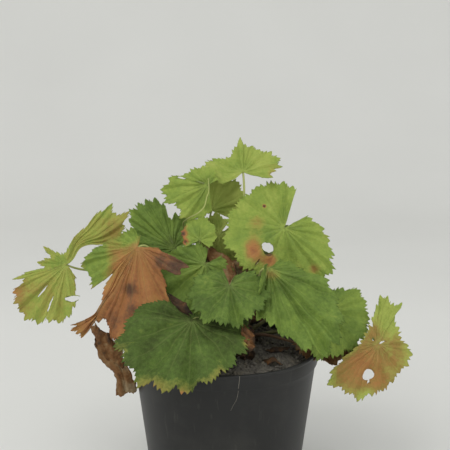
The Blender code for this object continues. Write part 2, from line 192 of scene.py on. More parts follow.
LEAVES = (
    Leaf("front_large", (-0.022, -0.042, 0.139), (-95, 48, 84),
         ((100, 10, -20), (124, 15, -14), (149, 28, -2), (166, 42, -8), (185, 45, 1), (203, 54, -3),
          (222, 54, 1), (238, 58.5, -1.5), (255, 55, 2), (271, 52, -1.5), (289, 50, 1.5), (310, 45, -2),
          (328, 43, 1), (346, 40, -3), (372, 37, -14), (402, 28, -22), (436, 17, -28)), (-110, 62),
         cuts={9: (0.10, 4), 11: (0.09, 4)}, pleat=0.025, tint=0.12, ruffle=1.8,
         patches=((247, 58, 3, 0.42), (268, 54, 3, 0.45), (240, 58, 8, 0.20), (254, 55, 8, 0.22),
                  (270, 52, 8, 0.20), (286, 50, 7, 0.20), (300, 47, 6, 0.18), (210, 53, 7, 0.14),
                  (336, 42, 4, 0.30))),
    Leaf("centre", (0.003, -0.040, 0.162), (-95, 40, 85),
         ((124, 11, -8), (144, 18, -3), (168, 24, 1), (193, 28, -2.5), (216, 29.5, 1.5),
          (240, 30.5, -2.5), (262, 29.5, 2.5), (284, 29, -10), (303, 29, 1), (322, 29.5, 3),
          (345, 27, -1), (370, 23, 3), (392, 19, 8), (407, 14, 1), (420, 9, -3)), (-75, 45), cut=0.096,
         pleat=0.04, tint=0.27, ruffle=1.3),
    Leaf("right_front", (0.030, -0.028, 0.171), (-80, 35, 134),
         ((196, 9, 50, 40), (216, 19, 44, 40), (238, 20, 26, 20), (251, 37, -3), (264, 41, 1),
          (275, 47, -1), (286, 61, 1.5), (298, 70, -1.5), (306, 68, 1), (316, 61, 3), (332, 50, -2),
          (345, 40, 2), (356, 26, -8), (374, 22, -12), (392, 14, -18)), (-30, 45),
         cuts={3: (0.40, 8), 7: (0.09, 4)}, pleat=0.035, ruffle=2.2,
         patches=((300, 5, 5, 0.16), (262, 4, 5, 0.20), (311, 10, 6, 0.05), (222, 15, 6, 0.04))),
    Leaf("right_back", (0.072, -0.014, 0.137), (-70, 35, 100),
         ((120, 18, -20), (150, 22, -12), (185, 26, -8), (220, 32, 2), (245, 36, -2), (268, 33, 3),
          (292, 31.5, -2), (318, 32, 3), (345, 32, -1.5), (368, 31.5, 2.5), (384, 31), (404, 22, -3),
          (430, 16, -15)), (-5, 60), pleat=0.035, tint=0.54),
    Leaf("upper_right", (0.042, 0.000, 0.194), (-90, 30, 48),
         ((78, 30, 12), (90, 34, 2), (103, 36, -3), (121, 37.5, 2), (144, 38.5, -2), (168, 41, 1.5),
          (195, 44, -1.5), (221, 41, -3), (249, 39, -12), (280, 38, -16), (304, 49, -8), (316, 46, -1),
          (331, 38.5, 1.5), (345, 33), (360, 27, 3), (378, 19, 8)), (8, 38),
         cuts={10: (0.12, 3), 12: (0.10, 3)}, tint=0.70, edge=0.03, ruffle=1.8,
         patches=((203, 24, 7, 0.20), (214, 27, 6.5, 0.42), (226, 30, 6.5, 0.36), (245, 26, 5.5, 0.38),
                  (248, 24, 5, 0.34), (167, 20, 7, 0.30), (306, 36, 3.8, 0.46), (352, 31, 6, 0.20),
                  (130, 21.5, 1.0, 1.9), (285, 33, 1.0, 1.4), (300, 24, 14, -0.03)),
         holes=((231, 19, 4.7, 4.1), (232, 31, 0.6, 3.4))),
    Leaf("upper_left", (-0.037, 0.011, 0.177), (-100, 20, 8),
         ((28, 20, -3), (54, 22, 2), (77, 27.5, -2.5), (92, 25, 2), (102, 22), (108, 34), (115, 40, 1),
          (124, 41.5, -1), (132, 42.5, 1), (142, 43.5, -1), (151, 40), (162, 33, -1.5), (178, 28, 2.5),
          (200, 20, -2), (237, 15), (284, 14, -3), (330, 17, -8)), (175, 48), ruffle=1.5),
    Leaf("mid_left", (-0.014, -0.010, 0.170), (-95, 25, 62),
         ((92, 12, 2), (112, 16), (132, 19, -2), (150, 22), (166, 27, 1), (184, 35, -9), (203, 39, 0),
          (222, 40, -12), (244, 40, -2), (264, 40, -13), (286, 42, -10), (310, 36, -14), (341, 24, -8),
          (374, 14, -3)), (-130, 52), pleat=0.035, tint=0.42),
    Leaf("orange_left", (-0.062, -0.004, 0.181), (-110, 12, 46),
         ((98, 7), (118, 14.5), (143, 15.5), (160, 17), (170, 21), (179, 27, -1), (187, 35), (194, 41, 1),
          (201, 47, -1), (212, 43, 1), (223, 46, -1), (227, 28), (230, 77), (234.5, 81, -1),
          (239.5, 79, 1), (244, 80), (248, 56), (252, 60), (257, 68, -1), (266, 69, 1), (277, 62, -1),
          (289, 58, 1), (302, 65, -1), (313, 34), (327, 25, 3, 6), (339, 46, 6, 18), (347, 48, 6, 18),
          (357, 21, 6, 10)), (175, 60), cut=0.048, cuts={12: (0.10, 4), 16: (0.12, 4)},
         pinches=((12, 15, 243, 50, 24, 0.95), (12, 15, 218, 86, 17, 0.22)), pleat=0.02, rise=0.05,
         tint=0.62, age=0.62, edge=0.0, ruffle=2.2, tooth=2.4, slot="leaf_orange",
         patches=((188, 36, 16, -0.44), (206, 36, 14, -0.36), (220, 42, 8, -0.30), (152, 12, 9, -0.45),
                  (112, 12, 7, -0.45), (343, 40, 13, 0.32), (336, 23, 5, 0.20), (262, 30, 4.5, 0.25),
                  (270, 44, 4, 0.18), (236, 79, 7, -0.14), (256, 58, 9, 0.06), (292, 40, 7, -0.05),
                  (248, 40, 8, 0.06))),
    Leaf("far_left", (-0.115, 0.010, 0.165), (-82, 20, -22),
         ((27, 46, 2), (33, 50), (39, 58, 2), (46, 51), (53, 55, -2), (57, 46), (62, 27), (72, 14),
          (98, 8.5), (124, 10), (140, 20), (152, 12), (163, 16), (174, 20), (185, 15.5), (189, 29),
          (193, 37.5), (198, 31), (206, 42, -1.5), (215, 45, 1.5), (224, 47, -1.5), (232, 48, 1.5),
          (243, 46, -1.5), (252, 42, 2.5), (262, 42, -1.5), (272, 37, 2), (280, 30), (288, 18), (300, 10)),
         (165, 45), cut=0.048, cuts={23: (0.16, 5)}, pinches=((0, 7, 85, 14, 11, 0.42),), pleat=0.015,
         rise=0.08, bow=0.05, tint=0.82, age=0.17, edge=0.06, ruffle=2.4, tooth=2.7, slot="leaf_yellow",
         patches=((38, 42, 9, 0.14), (230, 24, 7, 0.18), (205, 42, 6, 0.24), (242, 8, 8, 0.04),
                  (33, 28, 6, 0.10), (222, 40, 10, 0.08)),
         holes=((227, 25, 0.9, 6.0), (247, 30, 0.8, 5.5), (279, 25, 5.6, 2.2))),
    Leaf("far_right", (0.107, -0.024, 0.116), (-75, 20, 48),
         ((112, 13, -2), (140, 12, -3), (168, 13, -2), (186, 18), (195, 28), (204, 39, 1.5),
          (213, 44.5, -1.5), (228, 41, 1.5), (243, 41, -1.5), (256, 34, 1.5), (271, 32, -1.5),
          (286, 27, 1.5), (304, 25, -1.5), (322, 25.5, 1.5), (340, 26.5, -1.5), (352, 22), (370, 17, 2),
          (393, 19, 2), (406, 22), (413, 33, 3), (420, 30), (430, 34), (439, 34.5, -2), (446, 26),
          (453, 18)), (-12, 75), cut=0.048, pinches=((18, 23, 428, 25, 6, 0.20),), pleat=0.02, tint=0.95,
         age=0.41, edge=-0.10, ruffle=1.8, tooth=2.4, slot="leaf_orange",
         patches=((238, 24, 16, 0.10), (430, 30, 17, -0.42), (405, 16, 8, -0.16), (249, 37, 6, -0.24),
                  (222, 33, 8, 0.06), (207, 43, 5, -0.18), (190, 26, 7, -0.08), (345, 22, 7, -0.16),
                  (290, 22, 6, -0.06), (100, 12, 6, 0.12)),
         holes=((247, 22, 4.0, 3.9), (250, 27, 1.0, 2.0), (130, 5.0, 1.2, 1.2), (20, 3.4, 0.7, 2.6))),
    Leaf("top", (0.013, 0.016, 0.232), (-90, 45, -78),
         ((-12, 20), (2, 22, 2), (14, 28, -1.5), (28, 30, 2), (45, 28, -1.5), (60, 23, 2), (74, 26, -2),
          (86, 24, 2), (94, 29, 8), (104, 23, 1), (126, 18.5, 2), (145, 26, -2), (158, 28, 2),
          (175, 31.5, -2), (192, 28, 1.5), (208, 19)), (60, 25), cut=0.096, tint=0.84, ruffle=2.0,
         tooth=2.4, patches=((8, 25, 6, 0.20), (-6, 20, 3, 0.2))),
    Leaf("top_left", (-0.012, 0.006, 0.224), (-90, 10, -12),
         ((40, 8), (68, 12, 2), (105, 12.5, -1.5), (138, 15.5, 2), (156, 18, -2), (170, 28, 1.5),
          (186, 32.5, -2.5), (202, 32, 2), (217, 27, -2), (230, 30, 2), (243, 30, -2.5), (258, 25, 1.5),
          (272, 20, -2)), (140, 40), cuts={5: (0.30, 5), 8: (0.14, 4)}, pleat=0.02, rise=0.095, bow=0.012,
         tint=0.72, ruffle=1.8, tooth=2,
         holes=((200, 14.5, 1.0, 0.8), (166, 19.5, 0.8, 3.6), (40, 9, 0.9, 0.8))),
    Leaf("top_shade", (-0.010, 0.021, 0.203), (-90, 10, -112),
         ((-12, 16, 2), (8, 21, -1.5), (28, 27, 2), (46, 28, -1.5), (68, 27, 2), (86, 27, -1.5),
          (104, 25, 2), (122, 19, -1.5), (146, 14)), (110, 25), tint=0.95, tooth=1.9),
    Leaf("small", (-0.018, -0.005, 0.186), (-90, 20, -95),
         ((-22, 9, 3), (12, 12, -3), (46, 15, 2), (82, 17, -2), (118, 16, 2), (152, 14, -3), (188, 11)),
         (-175, 35), pleat=0.05, tint=0.68, ruffle=1.3, tooth=1.4,
         patches=((156, 13, 3.2, 0.95), (186, 10, 2.6, 0.80), (135, 15, 2.2, 0.45)),
         holes=((150, 10.5, 0.9, 1.3),)),
    Leaf("behind_small", (-0.004, 0.012, 0.187), (-92, 12, 61),
         ((70, 12, 2.5), (100, 16, -2.5), (130, 14), (165, 13), (210, 17, 2), (240, 24, -2.5),
          (264, 29, 2), (288, 31, -2), (312, 32, 2), (335, 28, -2), (360, 22), (385, 17, 2)), (75, 12),
         tint=0.95, tooth=1.9),
    Leaf("dead_right", (0.056, -0.016, 0.1150), (-80, 66, 128),
         ((220, 8), (290, 14, -2), (316, 26, -3), (334, 38, 2), (346, 43, -2.5), (357, 38, 3),
          (376, 20, -2), (395, 12)), (-22, 70), cut=0.12, pleat=0.05, rise=0.012, bow=0.010, tint=0.60,
         edge=0.10, ruffle=3.0, tooth=2.5, slot="dead_leaf"),
    Leaf("back_large", (0.000, 0.054, 0.146), (90, 48, 88),
         ((105, 12, -24), (132, 24, -18), (158, 36, -3), (182, 43, 2), (205, 45, -2), (230, 47, 2),
          (254, 49, -2), (279, 48, 2), (304, 45, -2), (327, 41, 1.5), (350, 34, -3), (376, 26, -12),
          (405, 18, -20)), (92, 60), pleat=0.04, tint=0.2, edge=0.10, ruffle=1.8,
         patches=((254, 47, 5, 0.3), (330, 38, 5, 0.35))),
    Leaf("back_left", (-0.054, 0.040, 0.154), (132, 42, 88),
         ((120, 13, -20), (150, 20, -10), (180, 27, 2), (206, 32, -2), (230, 34, 2), (254, 38, -2),
          (278, 38, 2), (303, 36, -2), (328, 31, 2), (355, 23, -3), (380, 17, -12), (412, 13, -20)),
         (120, 50), tint=0.42, edge=0.10, patches=((270, 37, 5, 0.3),)),
    Leaf("back_right", (0.058, 0.030, 0.140), (40, 42, 88),
         even_lobes(14, 24, 32, 35, 36, 37, 36, 35, 32, 26, 20, 14), (40, 55), tint=0.36, edge=0.10,
         ruffle=1.7, patches=((250, 36, 6, 0.25),)),
    Leaf("back_top", (0.026, 0.048, 0.184), (80, 35, 88),
         even_lobes(13, 22, 30, 33, 34, 32, 33, 34, 30, 24, 19, 14), (80, 30), tint=0.62, edge=0.08,
         ruffle=1.7, holes=((246, 17, 7.0, 6.5), (306, 20, 2.4, 3.0))),
    Leaf("back_low_left", (-0.064, 0.050, 0.122), (140, 30, 88),
         even_lobes(13, 21, 28, 31, 34, 32, 33, 34, 30, 24, 18, 14), (140, 78), tint=0.6, age=0.2,
         edge=0.16, ruffle=2.0),
    Leaf("back_low_right", (0.046, 0.074, 0.118), (62, 32, 88),
         even_lobes(12, 19, 25, 28, 30, 30, 30, 29, 25, 20, 16, 13), (65, 78), tint=0.3, edge=0.10),
)

# Stalks whose blades have withered
WITHERED_STALKS = (
    Leaf("dead_left", (-0.075, -0.008, 0.108), (-100, 10, 31), (), (-172, 70), rise=0.03, bow=0.012),
    Leaf("dead_centre", (-0.015, 0.003, 0.176), (-80, 30, 139), (), (-60, 12)),
    Leaf("dead_inner", (0.032, 0.012, 0.170), (-90, 10, -5), (), (45, 30)),
)


@dataclass
class Withered:
    """A withered blade or fold: a strip carried along a path."""
    name: str
    path: tuple             # metres
    widths: tuple           # mm, spaced evenly along it
    turns: tuple            # degrees that its side swings about the path, spaced evenly too
    crumple: float          # height of its ridges in mm
    tone: float             # nearly black through rust to straw
    cup: float = 0.6        # half the angle that it bends across, in radians
    draw: float = 1.5       # how far its ridges are drawn out along it
    nodes: tuple = ()       # the CAD nodes that it stands for


WITHERED = (
    Withered("dead_left",
             ((-0.0890, -0.012, 0.1130), (-0.0830, -0.013, 0.1020), (-0.0745, -0.014, 0.0920),
              (-0.0712, -0.014, 0.0755)), widths=(10, 17, 13, 18), turns=(10, -10, 0), cup=0.9, crumple=1.1,
             draw=4.0, tone=0.54, nodes=("blade_dead_left",)),
    Withered("dead_left_fold",
             ((-0.0935, -0.010, 0.1262), (-0.0908, -0.011, 0.1212), (-0.0867, -0.014, 0.1160),
              (-0.0805, -0.015, 0.1040), (-0.0761, -0.015, 0.0960)), widths=(4, 8, 17, 17, 6),
             turns=(25, 10, -20), cup=1.2, crumple=1.6, draw=1.6, tone=0.42),
    Withered("dead_centre",
             ((-0.0150, 0.003, 0.1770), (-0.0120, 0.001, 0.1750), (-0.0049, -0.006, 0.1691),
              (0.0010, -0.012, 0.1625), (0.0045, -0.016, 0.1550)), widths=(6, 13, 17, 16, 9),
             turns=(10, -10, 15), cup=0.8, crumple=1.6, tone=0.50, nodes=("blade_dead_centre",)),
    Withered("dead_inner",
             ((0.0375, -0.001, 0.1700), (0.0290, -0.002, 0.1670), (0.0215, -0.003, 0.1660),
              (0.0040, -0.004, 0.1640)), widths=(12, 21, 21, 14), turns=(5, -12, 10), crumple=1.2,
             tone=0.72, nodes=("blade_dead_inner",)),
    # A withered fold at the crown, seen through the gap between the centre and right leaves. It is partly
    # real litter and partly painted shade: its near-black tone stands in for the shade in that gap.
    Withered("inner_fold",
             ((0.0030, 0.016, 0.1200), (0.0120, 0.015, 0.1250), (0.0210, 0.014, 0.1290),
              (0.0330, 0.012, 0.1290)), widths=(10, 22, 24, 14), turns=(80, 70, 80), crumple=1.5,
             tone=0.20),
    Withered("front_curl",
             ((0.0118, -0.053, 0.1370), (0.0148, -0.055, 0.1308), (0.0155, -0.057, 0.1252),
              (0.0125, -0.058, 0.1200)), widths=(3, 9, 7, 3), turns=(20, -10, 20), cup=0.7, crumple=2.2,
             draw=0.8, tone=0.32),
    Withered("tip_fold",
             ((-0.0365, -0.046, 0.1567), (-0.0325, -0.047, 0.1522), (-0.0283, -0.047, 0.1488),
              (-0.0235, -0.046, 0.1445)), widths=(2, 6, 8, 3), turns=(15, -10, 10), cup=0.7, crumple=1.1,
             draw=1.6, tone=0.12),
)

# Fallen flakes: their node, the direction that they lie in, and their cup and tone
LITTER = (
    ("litter_front", 80, 0.5, 0.10),
    ("litter_right", 20, 0.7, 0.20),
    ("litter_middle", -30, 0.6, 0.20),
)

# A young stalk that crosses in front of the upper left leaf: its points from the tip to where it goes
# behind, in metres, its foot's (azimuth, tilt) on the crown, and its radii from the tip
YOUNG_STALK = ((-0.0118, 0.003, 0.2290), (-0.0113, 0.001, 0.2209), (-0.0127, 0.000, 0.2161),
               (-0.0148, -0.0015, 0.2092), (-0.0197, -0.002, 0.2045), (-0.0275, 0.002, 0.1996),
               (-0.0300, 0.014, 0.1920), (-0.0250, 0.023, 0.1700))
YOUNG_STALK_FOOT = (150, 30)
YOUNG_STALK_RADII = (0.25 * MM, 0.6 * MM)

# A root fibre that escaped over the rim and dried on: its x and how far it is below the rim, in mm, and
# its radii from the rim down
ROOT_FIBRE = ((9.5, 0.2), (9.3, 4), (8.8, 8), (8.6, 12), (7.6, 17), (5.6, 21), (3.8, 25))
ROOT_FIBRE_RADII = (0.17 * MM, 0.10 * MM)

# ---- Small tools ----


def unit_hash(*cells):
    """A repeatable number from 0 to 1 for each set of whole numbers."""
    mixed = np.zeros(np.broadcast(*cells).shape, np.int64) + SEED
    for cell, prime in zip(cells, (73856093, 19349663, 83492791, 49979687)):
        mixed = mixed ^ (np.asarray(cell).astype(np.int64) * prime)
        mixed = (mixed ^ (mixed >> 15)) * 2246822519 % 4294967296
    return ((mixed ^ (mixed >> 13)) & 0xFFFFF) / 0xFFFFF


def noise(u, v, seed=0):
    """Smooth noise from -1 to 1 over a plane: hashed values at whole numbers, eased between them."""
    u, v = np.broadcast_arrays(np.asarray(u, float), np.asarray(v, float))
    i, j = np.floor(u), np.floor(v)
    a, b = ease(0, 1, u - i), ease(0, 1, v - j)
    corner = [[unit_hash(i + x, j + y, np.full(i.shape, seed)) for y in (0, 1)] for x in (0, 1)]
    low = corner[0][0] * (1 - b) + corner[0][1] * b
    high = corner[1][0] * (1 - b) + corner[1][1] * b
    return 2 * (low * (1 - a) + high * a) - 1


def rough(u, v, seed=0, octaves=3):
    """Noise summed over octaves, each twice as fine and half as strong."""
    return sum(noise(u * 2 ** k, v * 2 ** k, seed + k) / 2 ** k for k in range(octaves))


def ease(low, high, value):
    """From 0 at low to 1 at high, level at both ends: 3s^2 - 2s^3 of the share s of the way."""
    share = np.clip((value - low) / (high - low), 0, 1)
    return share * share * (3 - 2 * share)


def spread_over(count, values):
    """Values spaced evenly over a run, read at count even steps of it."""
    return np.interp(np.linspace(0, 1, count), np.linspace(0, 1, len(values)), values)


def unit(vectors):
    """Vectors, one a row, scaled to a length of one."""
    return vectors / np.linalg.norm(vectors, axis=-1, keepdims=True)


def around(radius, turn, height):
    """Points at a radius from the Z axis, an angle round it and a height."""
    return np.stack(np.broadcast_arrays(radius * np.cos(turn), radius * np.sin(turn), height), axis=-1)


def full_turn(steps):
    """Angles evenly round a circle."""
    return np.linspace(0, math.tau, steps, endpoint=False)


def grid_faces(rows, columns, wrap=False):
    """Quads of a grid of points, row by row; wrap joins the last column to the first."""
    column = np.arange(columns if wrap else columns - 1)
    row, column = np.meshgrid(np.arange(rows - 1), column, indexing="ij")
    following = (column + 1) % columns
    quads = np.stack([row * columns + column, row * columns + following,
                      (row + 1) * columns + following, (row + 1) * columns + column], axis=-1)
    return quads.reshape(-1, 4)


def mesh_object(name, points, faces, material, smooth=True):
    """A mesh object from an array of points and a list of faces."""
    mesh = bpy.data.meshes.new(name)
    mesh.from_pydata(np.asarray(points).reshape(-1, 3).tolist(), [], faces)
    mesh.validate()
    mesh.materials.append(material)
    if smooth:
        mesh.shade_smooth()
    piece = bpy.data.objects.new(name, mesh)
    bpy.context.scene.collection.objects.link(piece)
    return piece


@contextmanager
def opened(piece):
    """The piece's mesh, open for editing, and put back at the end."""
    shape = bmesh.new()
    shape.from_mesh(piece.data)
    yield shape
    shape.to_mesh(piece.data)
    shape.free()


def put_values(piece, **values):
    """Stores numbers at each point, under the names by which the material reads them."""
    for name, numbers in values.items():
        attribute = piece.data.attributes.new(name, "FLOAT", "POINT")
        attribute.data.foreach_set("value", np.asarray(numbers, np.float32).ravel())


def belongs(piece, slot, *nodes):
    """The piece rides on the plant's one body and stands for the nodes. The slot is not used."""
    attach(piece, "root")
    if nodes:
        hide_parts(*nodes)
    return piece


def thicken(piece, offset):
    """Gives a sheet its thickness: offset -1 puts it all behind the faces, and 0 half on each side. The new
    side takes the sheet's last material."""
    skin = piece.modifiers.new("Lamina", "SOLIDIFY")
    skin.thickness = BLADE_THICKNESS
    skin.offset = offset
    skin.material_offset = len(piece.data.materials) - 1


def tube(name, path, radii, share, material, sides=8, groove=0.0):
    """A closed tube carried along a path, with share kept at its rings as Along. Each ring lies square to
    the path, turned from the ring before it by no more than the path turns. groove flattens one side."""
    path = np.asarray(path, float)
    along = unit(np.gradient(path, axis=0))
    side = np.empty_like(path)
    square = np.cross(along[0], (0.0, 1.0, 0.1))
    for number, direction in enumerate(along):
        square = unit(square - direction * square.dot(direction))
        side[number] = square
    turn = full_turn(sides)[:, None]
    width = 1 - groove * np.exp(-((np.cos(turn) - 1) / 0.35) ** 2)
    ring = side[:, None] * np.cos(turn) + np.cross(along, side)[:, None] * np.sin(turn)
    points = path[:, None] + ring * (np.asarray(radii)[:, None, None] * width)
    faces = grid_faces(len(path), sides, wrap=True)[:, ::-1].tolist()
    faces.append(list(range(sides)))
    faces.append([(len(path) - 1) * sides + i for i in reversed(range(sides))])
    piece = mesh_object(name, points, faces, material)
    put_values(piece, Along=np.repeat(share, sides))
    return piece


def stacked_rings(name, rings, material):
    """A solid from rings of points, from the top of its outside down and round, welded where they meet."""
    faces = grid_faces(*rings.shape[:2], wrap=True)[:, ::-1]
    piece = mesh_object(name, rings, faces.tolist(), material)
    with opened(piece) as shape:
        bmesh.ops.remove_doubles(shape, verts=shape.verts, dist=WELD_DISTANCE)
        bmesh.ops.recalc_face_normals(shape, faces=shape.faces)
    return piece


# ---- Materials ----


def srgb(code):
    """A hex colour as linear red, green, blue and alpha."""
    channels = [int(code[i:i + 2], 16) / 255 for i in (1, 3, 5)]
    linear = [c / 12.92 if c <= 0.04045 else ((c + 0.055) / 1.055) ** 2.4 for c in channels]
    return (*linear, 1.0)


def new_material(name, roughness, specular):
    """A material, the call that adds a node to it, and the Object coordinates that its patterns read. Every
    finish here is an organic or a plastic near 1.47 in IOR."""
    material = bpy.data.materials.new(name)
    material.use_nodes = True
    shader = material.node_tree.nodes["Principled BSDF"]
    for socket, value in (("Roughness", roughness), ("Specular IOR Level", specular), ("IOR", 1.47)):
        shader.inputs[socket].default_value = value
    node = partial(add, material)
    return material, node, node("TexCoord", give="Object")


def add(material, kind, inputs=(), give=None, stops=(), **settings):
    """Adds a node. settings are its properties; inputs are its sockets' values, or the sockets that feed
    them, by name or number; stops are a ramp's (place, hex colour). It returns the output that give names,
    or else the first."""
    tree = material.node_tree
    node = tree.nodes.new("ShaderNode" + kind)
    for key, value in settings.items():
        setattr(node, key, value)
    for key, value in dict(inputs).items():
        if isinstance(value, bpy.types.NodeSocket):
            tree.links.new(value, node.inputs[key])
        else:
            node.inputs[key].default_value = value
    for number, (place, code) in enumerate(stops):
        elements = node.color_ramp.elements
        element = elements[number] if number < 2 else elements.new(place)
        element.position = place
        element.color = srgb(code)
    return next(socket for socket in node.outputs if socket.enabled and give in (None, socket.name))


def finish(material, **sources):
    """Links sockets into the material's shader, by the shader's own socket names, and gives the material."""
    shader = material.node_tree.nodes["Principled BSDF"]
    for name, source in sources.items():
        material.node_tree.links.new(source, shader.inputs[name.replace("_", " ")])
    return material


def per_mm(size):
    """The texture scale whose pattern repeats every size millimetres, on coordinates in metres."""
    return 1000.0 / size


def leaf_lamina(name, side):
    """Lady's mantle leaf: soft and downy, so it scatters light and stays matte, with a fine mesh of paler
    veins. Tint runs it from shaded green to lime, and Age through yellow and orange to brown. The underside
    is greyer and paler, with its veins standing out."""
    material, node, place = new_material(name, roughness=0.72, specular=0.22)
    tint, age, vein = (node("Attribute", give="Fac", attribute_name=kept) for kept in ("Tint", "Age", "Vein"))
    cloud = node("TexNoise", {"Vector": place, "Scale": per_mm(14), "Detail": 4.0})
    speck = node("TexNoise", {"Vector": place, "Scale": per_mm(2.4), "Detail": 3.0})

    # Green: the tint, clouded over some 14 mm and mottled finely
    clouded = node("Math", {0: cloud, 1: 0.60, 2: tint}, operation="MULTIPLY_ADD")
    mottled = node("Math", {0: speck, 1: 0.42, 2: clouded}, operation="MULTIPLY_ADD")
    toned = node("Math", {0: mottled, 1: 0.51}, operation="SUBTRACT")
    living = node("ValToRGB", {"Fac": toned}, stops=LIVING_COLOURS)

    # Fading: the age, blotched in the same way
    blotched = node("Math", {0: cloud, 1: 0.30, 2: age}, operation="MULTIPLY_ADD")
    flecked = node("Math", {0: speck, 1: 0.26, 2: blotched}, operation="MULTIPLY_ADD")
    old = node("Math", {0: flecked, 1: 0.28}, operation="SUBTRACT")
    fading = node("ValToRGB", {"Fac": old}, stops=FADING_COLOURS)
    how_old = node("MapRange", {"Value": old, "From Min": 0.10, "From Max": 0.38})
    lamina = node("Mix", {0: how_old, 6: living, 7: fading}, data_type="RGBA")

    # Veins: those that the blade has in relief, and a fine mesh drawn on its UV map, which is in millimetres
    across = node("UVMap", uv_map="Lobe")
    cells = node("TexVoronoi", {"Vector": across, "Scale": MM / VEIN_MESH, "Randomness": 0.9},
                 feature="DISTANCE_TO_EDGE", voronoi_dimensions="2D")
    net = node("MapRange", {"Value": cells, "From Min": 0.0, "From Max": 0.16, "To Min": 1.0, "To Max": 0.0})
    veins = node("Math", {0: net, 1: 0.26, 2: vein}, operation="MULTIPLY_ADD")
    pale = node("Math", {0: veins, 1: side["vein"]}, operation="MULTIPLY", use_clamp=True)
    veined = node("Mix", {0: pale, 6: lamina, 7: srgb("#a9ad6e")}, data_type="RGBA")
    washed = node("Mix", {0: side["wash"], 6: veined, 7: srgb("#a8ac8c")}, data_type="RGBA")
    height = node("Math", {0: speck, 1: -0.5, 2: net}, operation="MULTIPLY_ADD")
    bump = node("Bump", {"Height": height, "Strength": 0.5, "Distance": side["bump"] * MM})
    return finish(material, Base_Color=washed, Normal=bump)


def stalk_skin(name, codes):
    """Leaf stalk, or a root in its own colours: round and downy, darker at its foot and paler towards its
    tip."""
    material, node, place = new_material(name, roughness=0.65, specular=0.25)
    share = node("Attribute", give="Fac", attribute_name="Along")
    cloud = node("TexNoise", {"Vector": place, "Scale": per_mm(6), "Detail": 3.0})
    down = node("TexNoise", {"Vector": place, "Scale": per_mm(1.2), "Detail": 2.0})
    mixed = node("Math", {0: cloud, 1: 0.4, 2: share}, operation="MULTIPLY_ADD")
    colour = node("ValToRGB", {"Fac": mixed}, stops=tuple(zip((0.15, 0.50, 1.0), codes)))
    bump = node("Bump", {"Height": down, "Strength": 0.4, "Distance": 0.4 * MM})
    return finish(material, Base_Color=colour, Normal=bump)


def dry_leaf():
    """Withered leaf: brittle and matt, wrinkled every millimetre or two, with darker blotches.
    Tone runs it from nearly black through rust to greyish straw."""
    material, node, place = new_material("dry_leaf", roughness=0.85, specular=0.18)
    # On a withered strip the Tone also holds painted highlight and shade: lighter on its ridges and darker in
    # their valleys.
    tone = node("Attribute", give="Fac", attribute_name="Tone")
    cloud = node("TexNoise", {"Vector": place, "Scale": per_mm(8), "Detail": 5.0, "Distortion": 0.6})
    fine = node("TexNoise", {"Vector": place, "Scale": per_mm(1.6), "Detail": 4.0})
    mixed = node("Math", {0: cloud, 1: 0.9, 2: tone}, operation="MULTIPLY_ADD")
    marked = node("Math", {0: fine, 1: 0.35, 2: mixed}, operation="MULTIPLY_ADD")
    level = node("Math", {0: marked, 1: 0.62}, operation="SUBTRACT")
    colour = node("ValToRGB", {"Fac": level},
                  stops=((0.0, "#29211a"), (0.25, "#463424"), (0.45, "#6c4a2c"), (0.62, "#7c6040"),
                         (0.80, "#8d7b5e"), (1.0, "#a1937a")))
    bump = node("Bump", {"Height": fine, "Strength": 0.7, "Distance": 0.7 * MM})
    return finish(material, Base_Color=colour, Normal=bump)


def moulded_polypropylene():
    """Black recycled polypropylene, injection moulded: dull, with a fine spark-eroded grain, upright scuffs
    3 mm wide and 22 long, and a film of dried compost dust. The grain is drawn 0.8 mm across."""
    material, node, place = new_material("moulded_polypropylene", roughness=0.5, specular=0.32)
    grain = node("TexNoise", {"Vector": place, "Scale": per_mm(0.8), "Detail": 2.0})
    film = node("TexNoise", {"Vector": place, "Scale": per_mm(35), "Detail": 5.0, "Roughness": 0.6})
    drawn = node("Mapping", {"Vector": place, "Scale": (per_mm(3), per_mm(3), per_mm(22))})
    streak = node("TexNoise", {"Vector": drawn, "Scale": 1.0, "Detail": 3.0})
    scuff = node("MapRange", {"Value": streak, "From Min": 0.62, "From Max": 0.76, "To Max": 0.35})
    dust = node("MapRange", {"Value": film, "From Min": 0.45, "From Max": 0.8, "To Max": 0.35})
    worn = node("Math", {0: scuff, 1: dust}, operation="ADD", use_clamp=True)
    colour = node("ValToRGB", {"Fac": worn}, stops=((0.0, "#20201f"), (1.0, "#45443f")))
    dull = node("MapRange", {"Value": worn, "To Min": 0.42, "To Max": 0.62})
    bump = node("Bump", {"Height": grain, "Strength": 0.15, "Distance": 0.2 * MM})
    return finish(material, Base_Color=colour, Roughness=dull, Normal=bump)


def moist_compost():
    """Peaty compost, drying on top: greyish brown, with paler fibres and crumbs 0.5 to 3 mm across."""
    material, node, place = new_material("moist_compost", roughness=0.95, specular=0.12)
    crumb = node("TexNoise", {"Vector": place, "Scale": per_mm(2), "Detail": 5.0})
    patch = node("TexNoise", {"Vector": place, "Scale": per_mm(11), "Detail": 3.0})
    mixed = node("Math", {0: crumb, 1: patch}, operation="MULTIPLY")
    colour = node("ValToRGB", {"Fac": mixed},
                  stops=((0.10, "#46433e"), (0.28, "#615d55"), (0.42, "#726b5d"), (0.6, "#867865")))
    bump = node("Bump", {"Height": crumb, "Strength": 0.8, "Distance": 1.2 * MM})
    return finish(material, Base_Color=colour, Normal=bump)


def rootstock_bark():
    """The crown's bark: dark brown, scaly and rough, pitted with old stalk scars about 3 mm across."""
    material, node, place = new_material("rootstock_bark", roughness=0.9, specular=0.2)
    scar = node("TexVoronoi", {"Vector": place, "Scale": per_mm(3)})
    cloud = node("TexNoise", {"Vector": place, "Scale": per_mm(4), "Detail": 5.0})
    mixed = node("Math", {0: scar, 1: cloud}, operation="MULTIPLY")
    colour = node("ValToRGB", {"Fac": mixed}, stops=((0.05, "#1d1612"), (0.25, "#3a2a20"), (0.5, "#604531")))
    bump = node("Bump", {"Height": mixed, "Strength": 0.8, "Distance": 1.0 * MM})
    return finish(material, Base_Color=colour, Normal=bump)


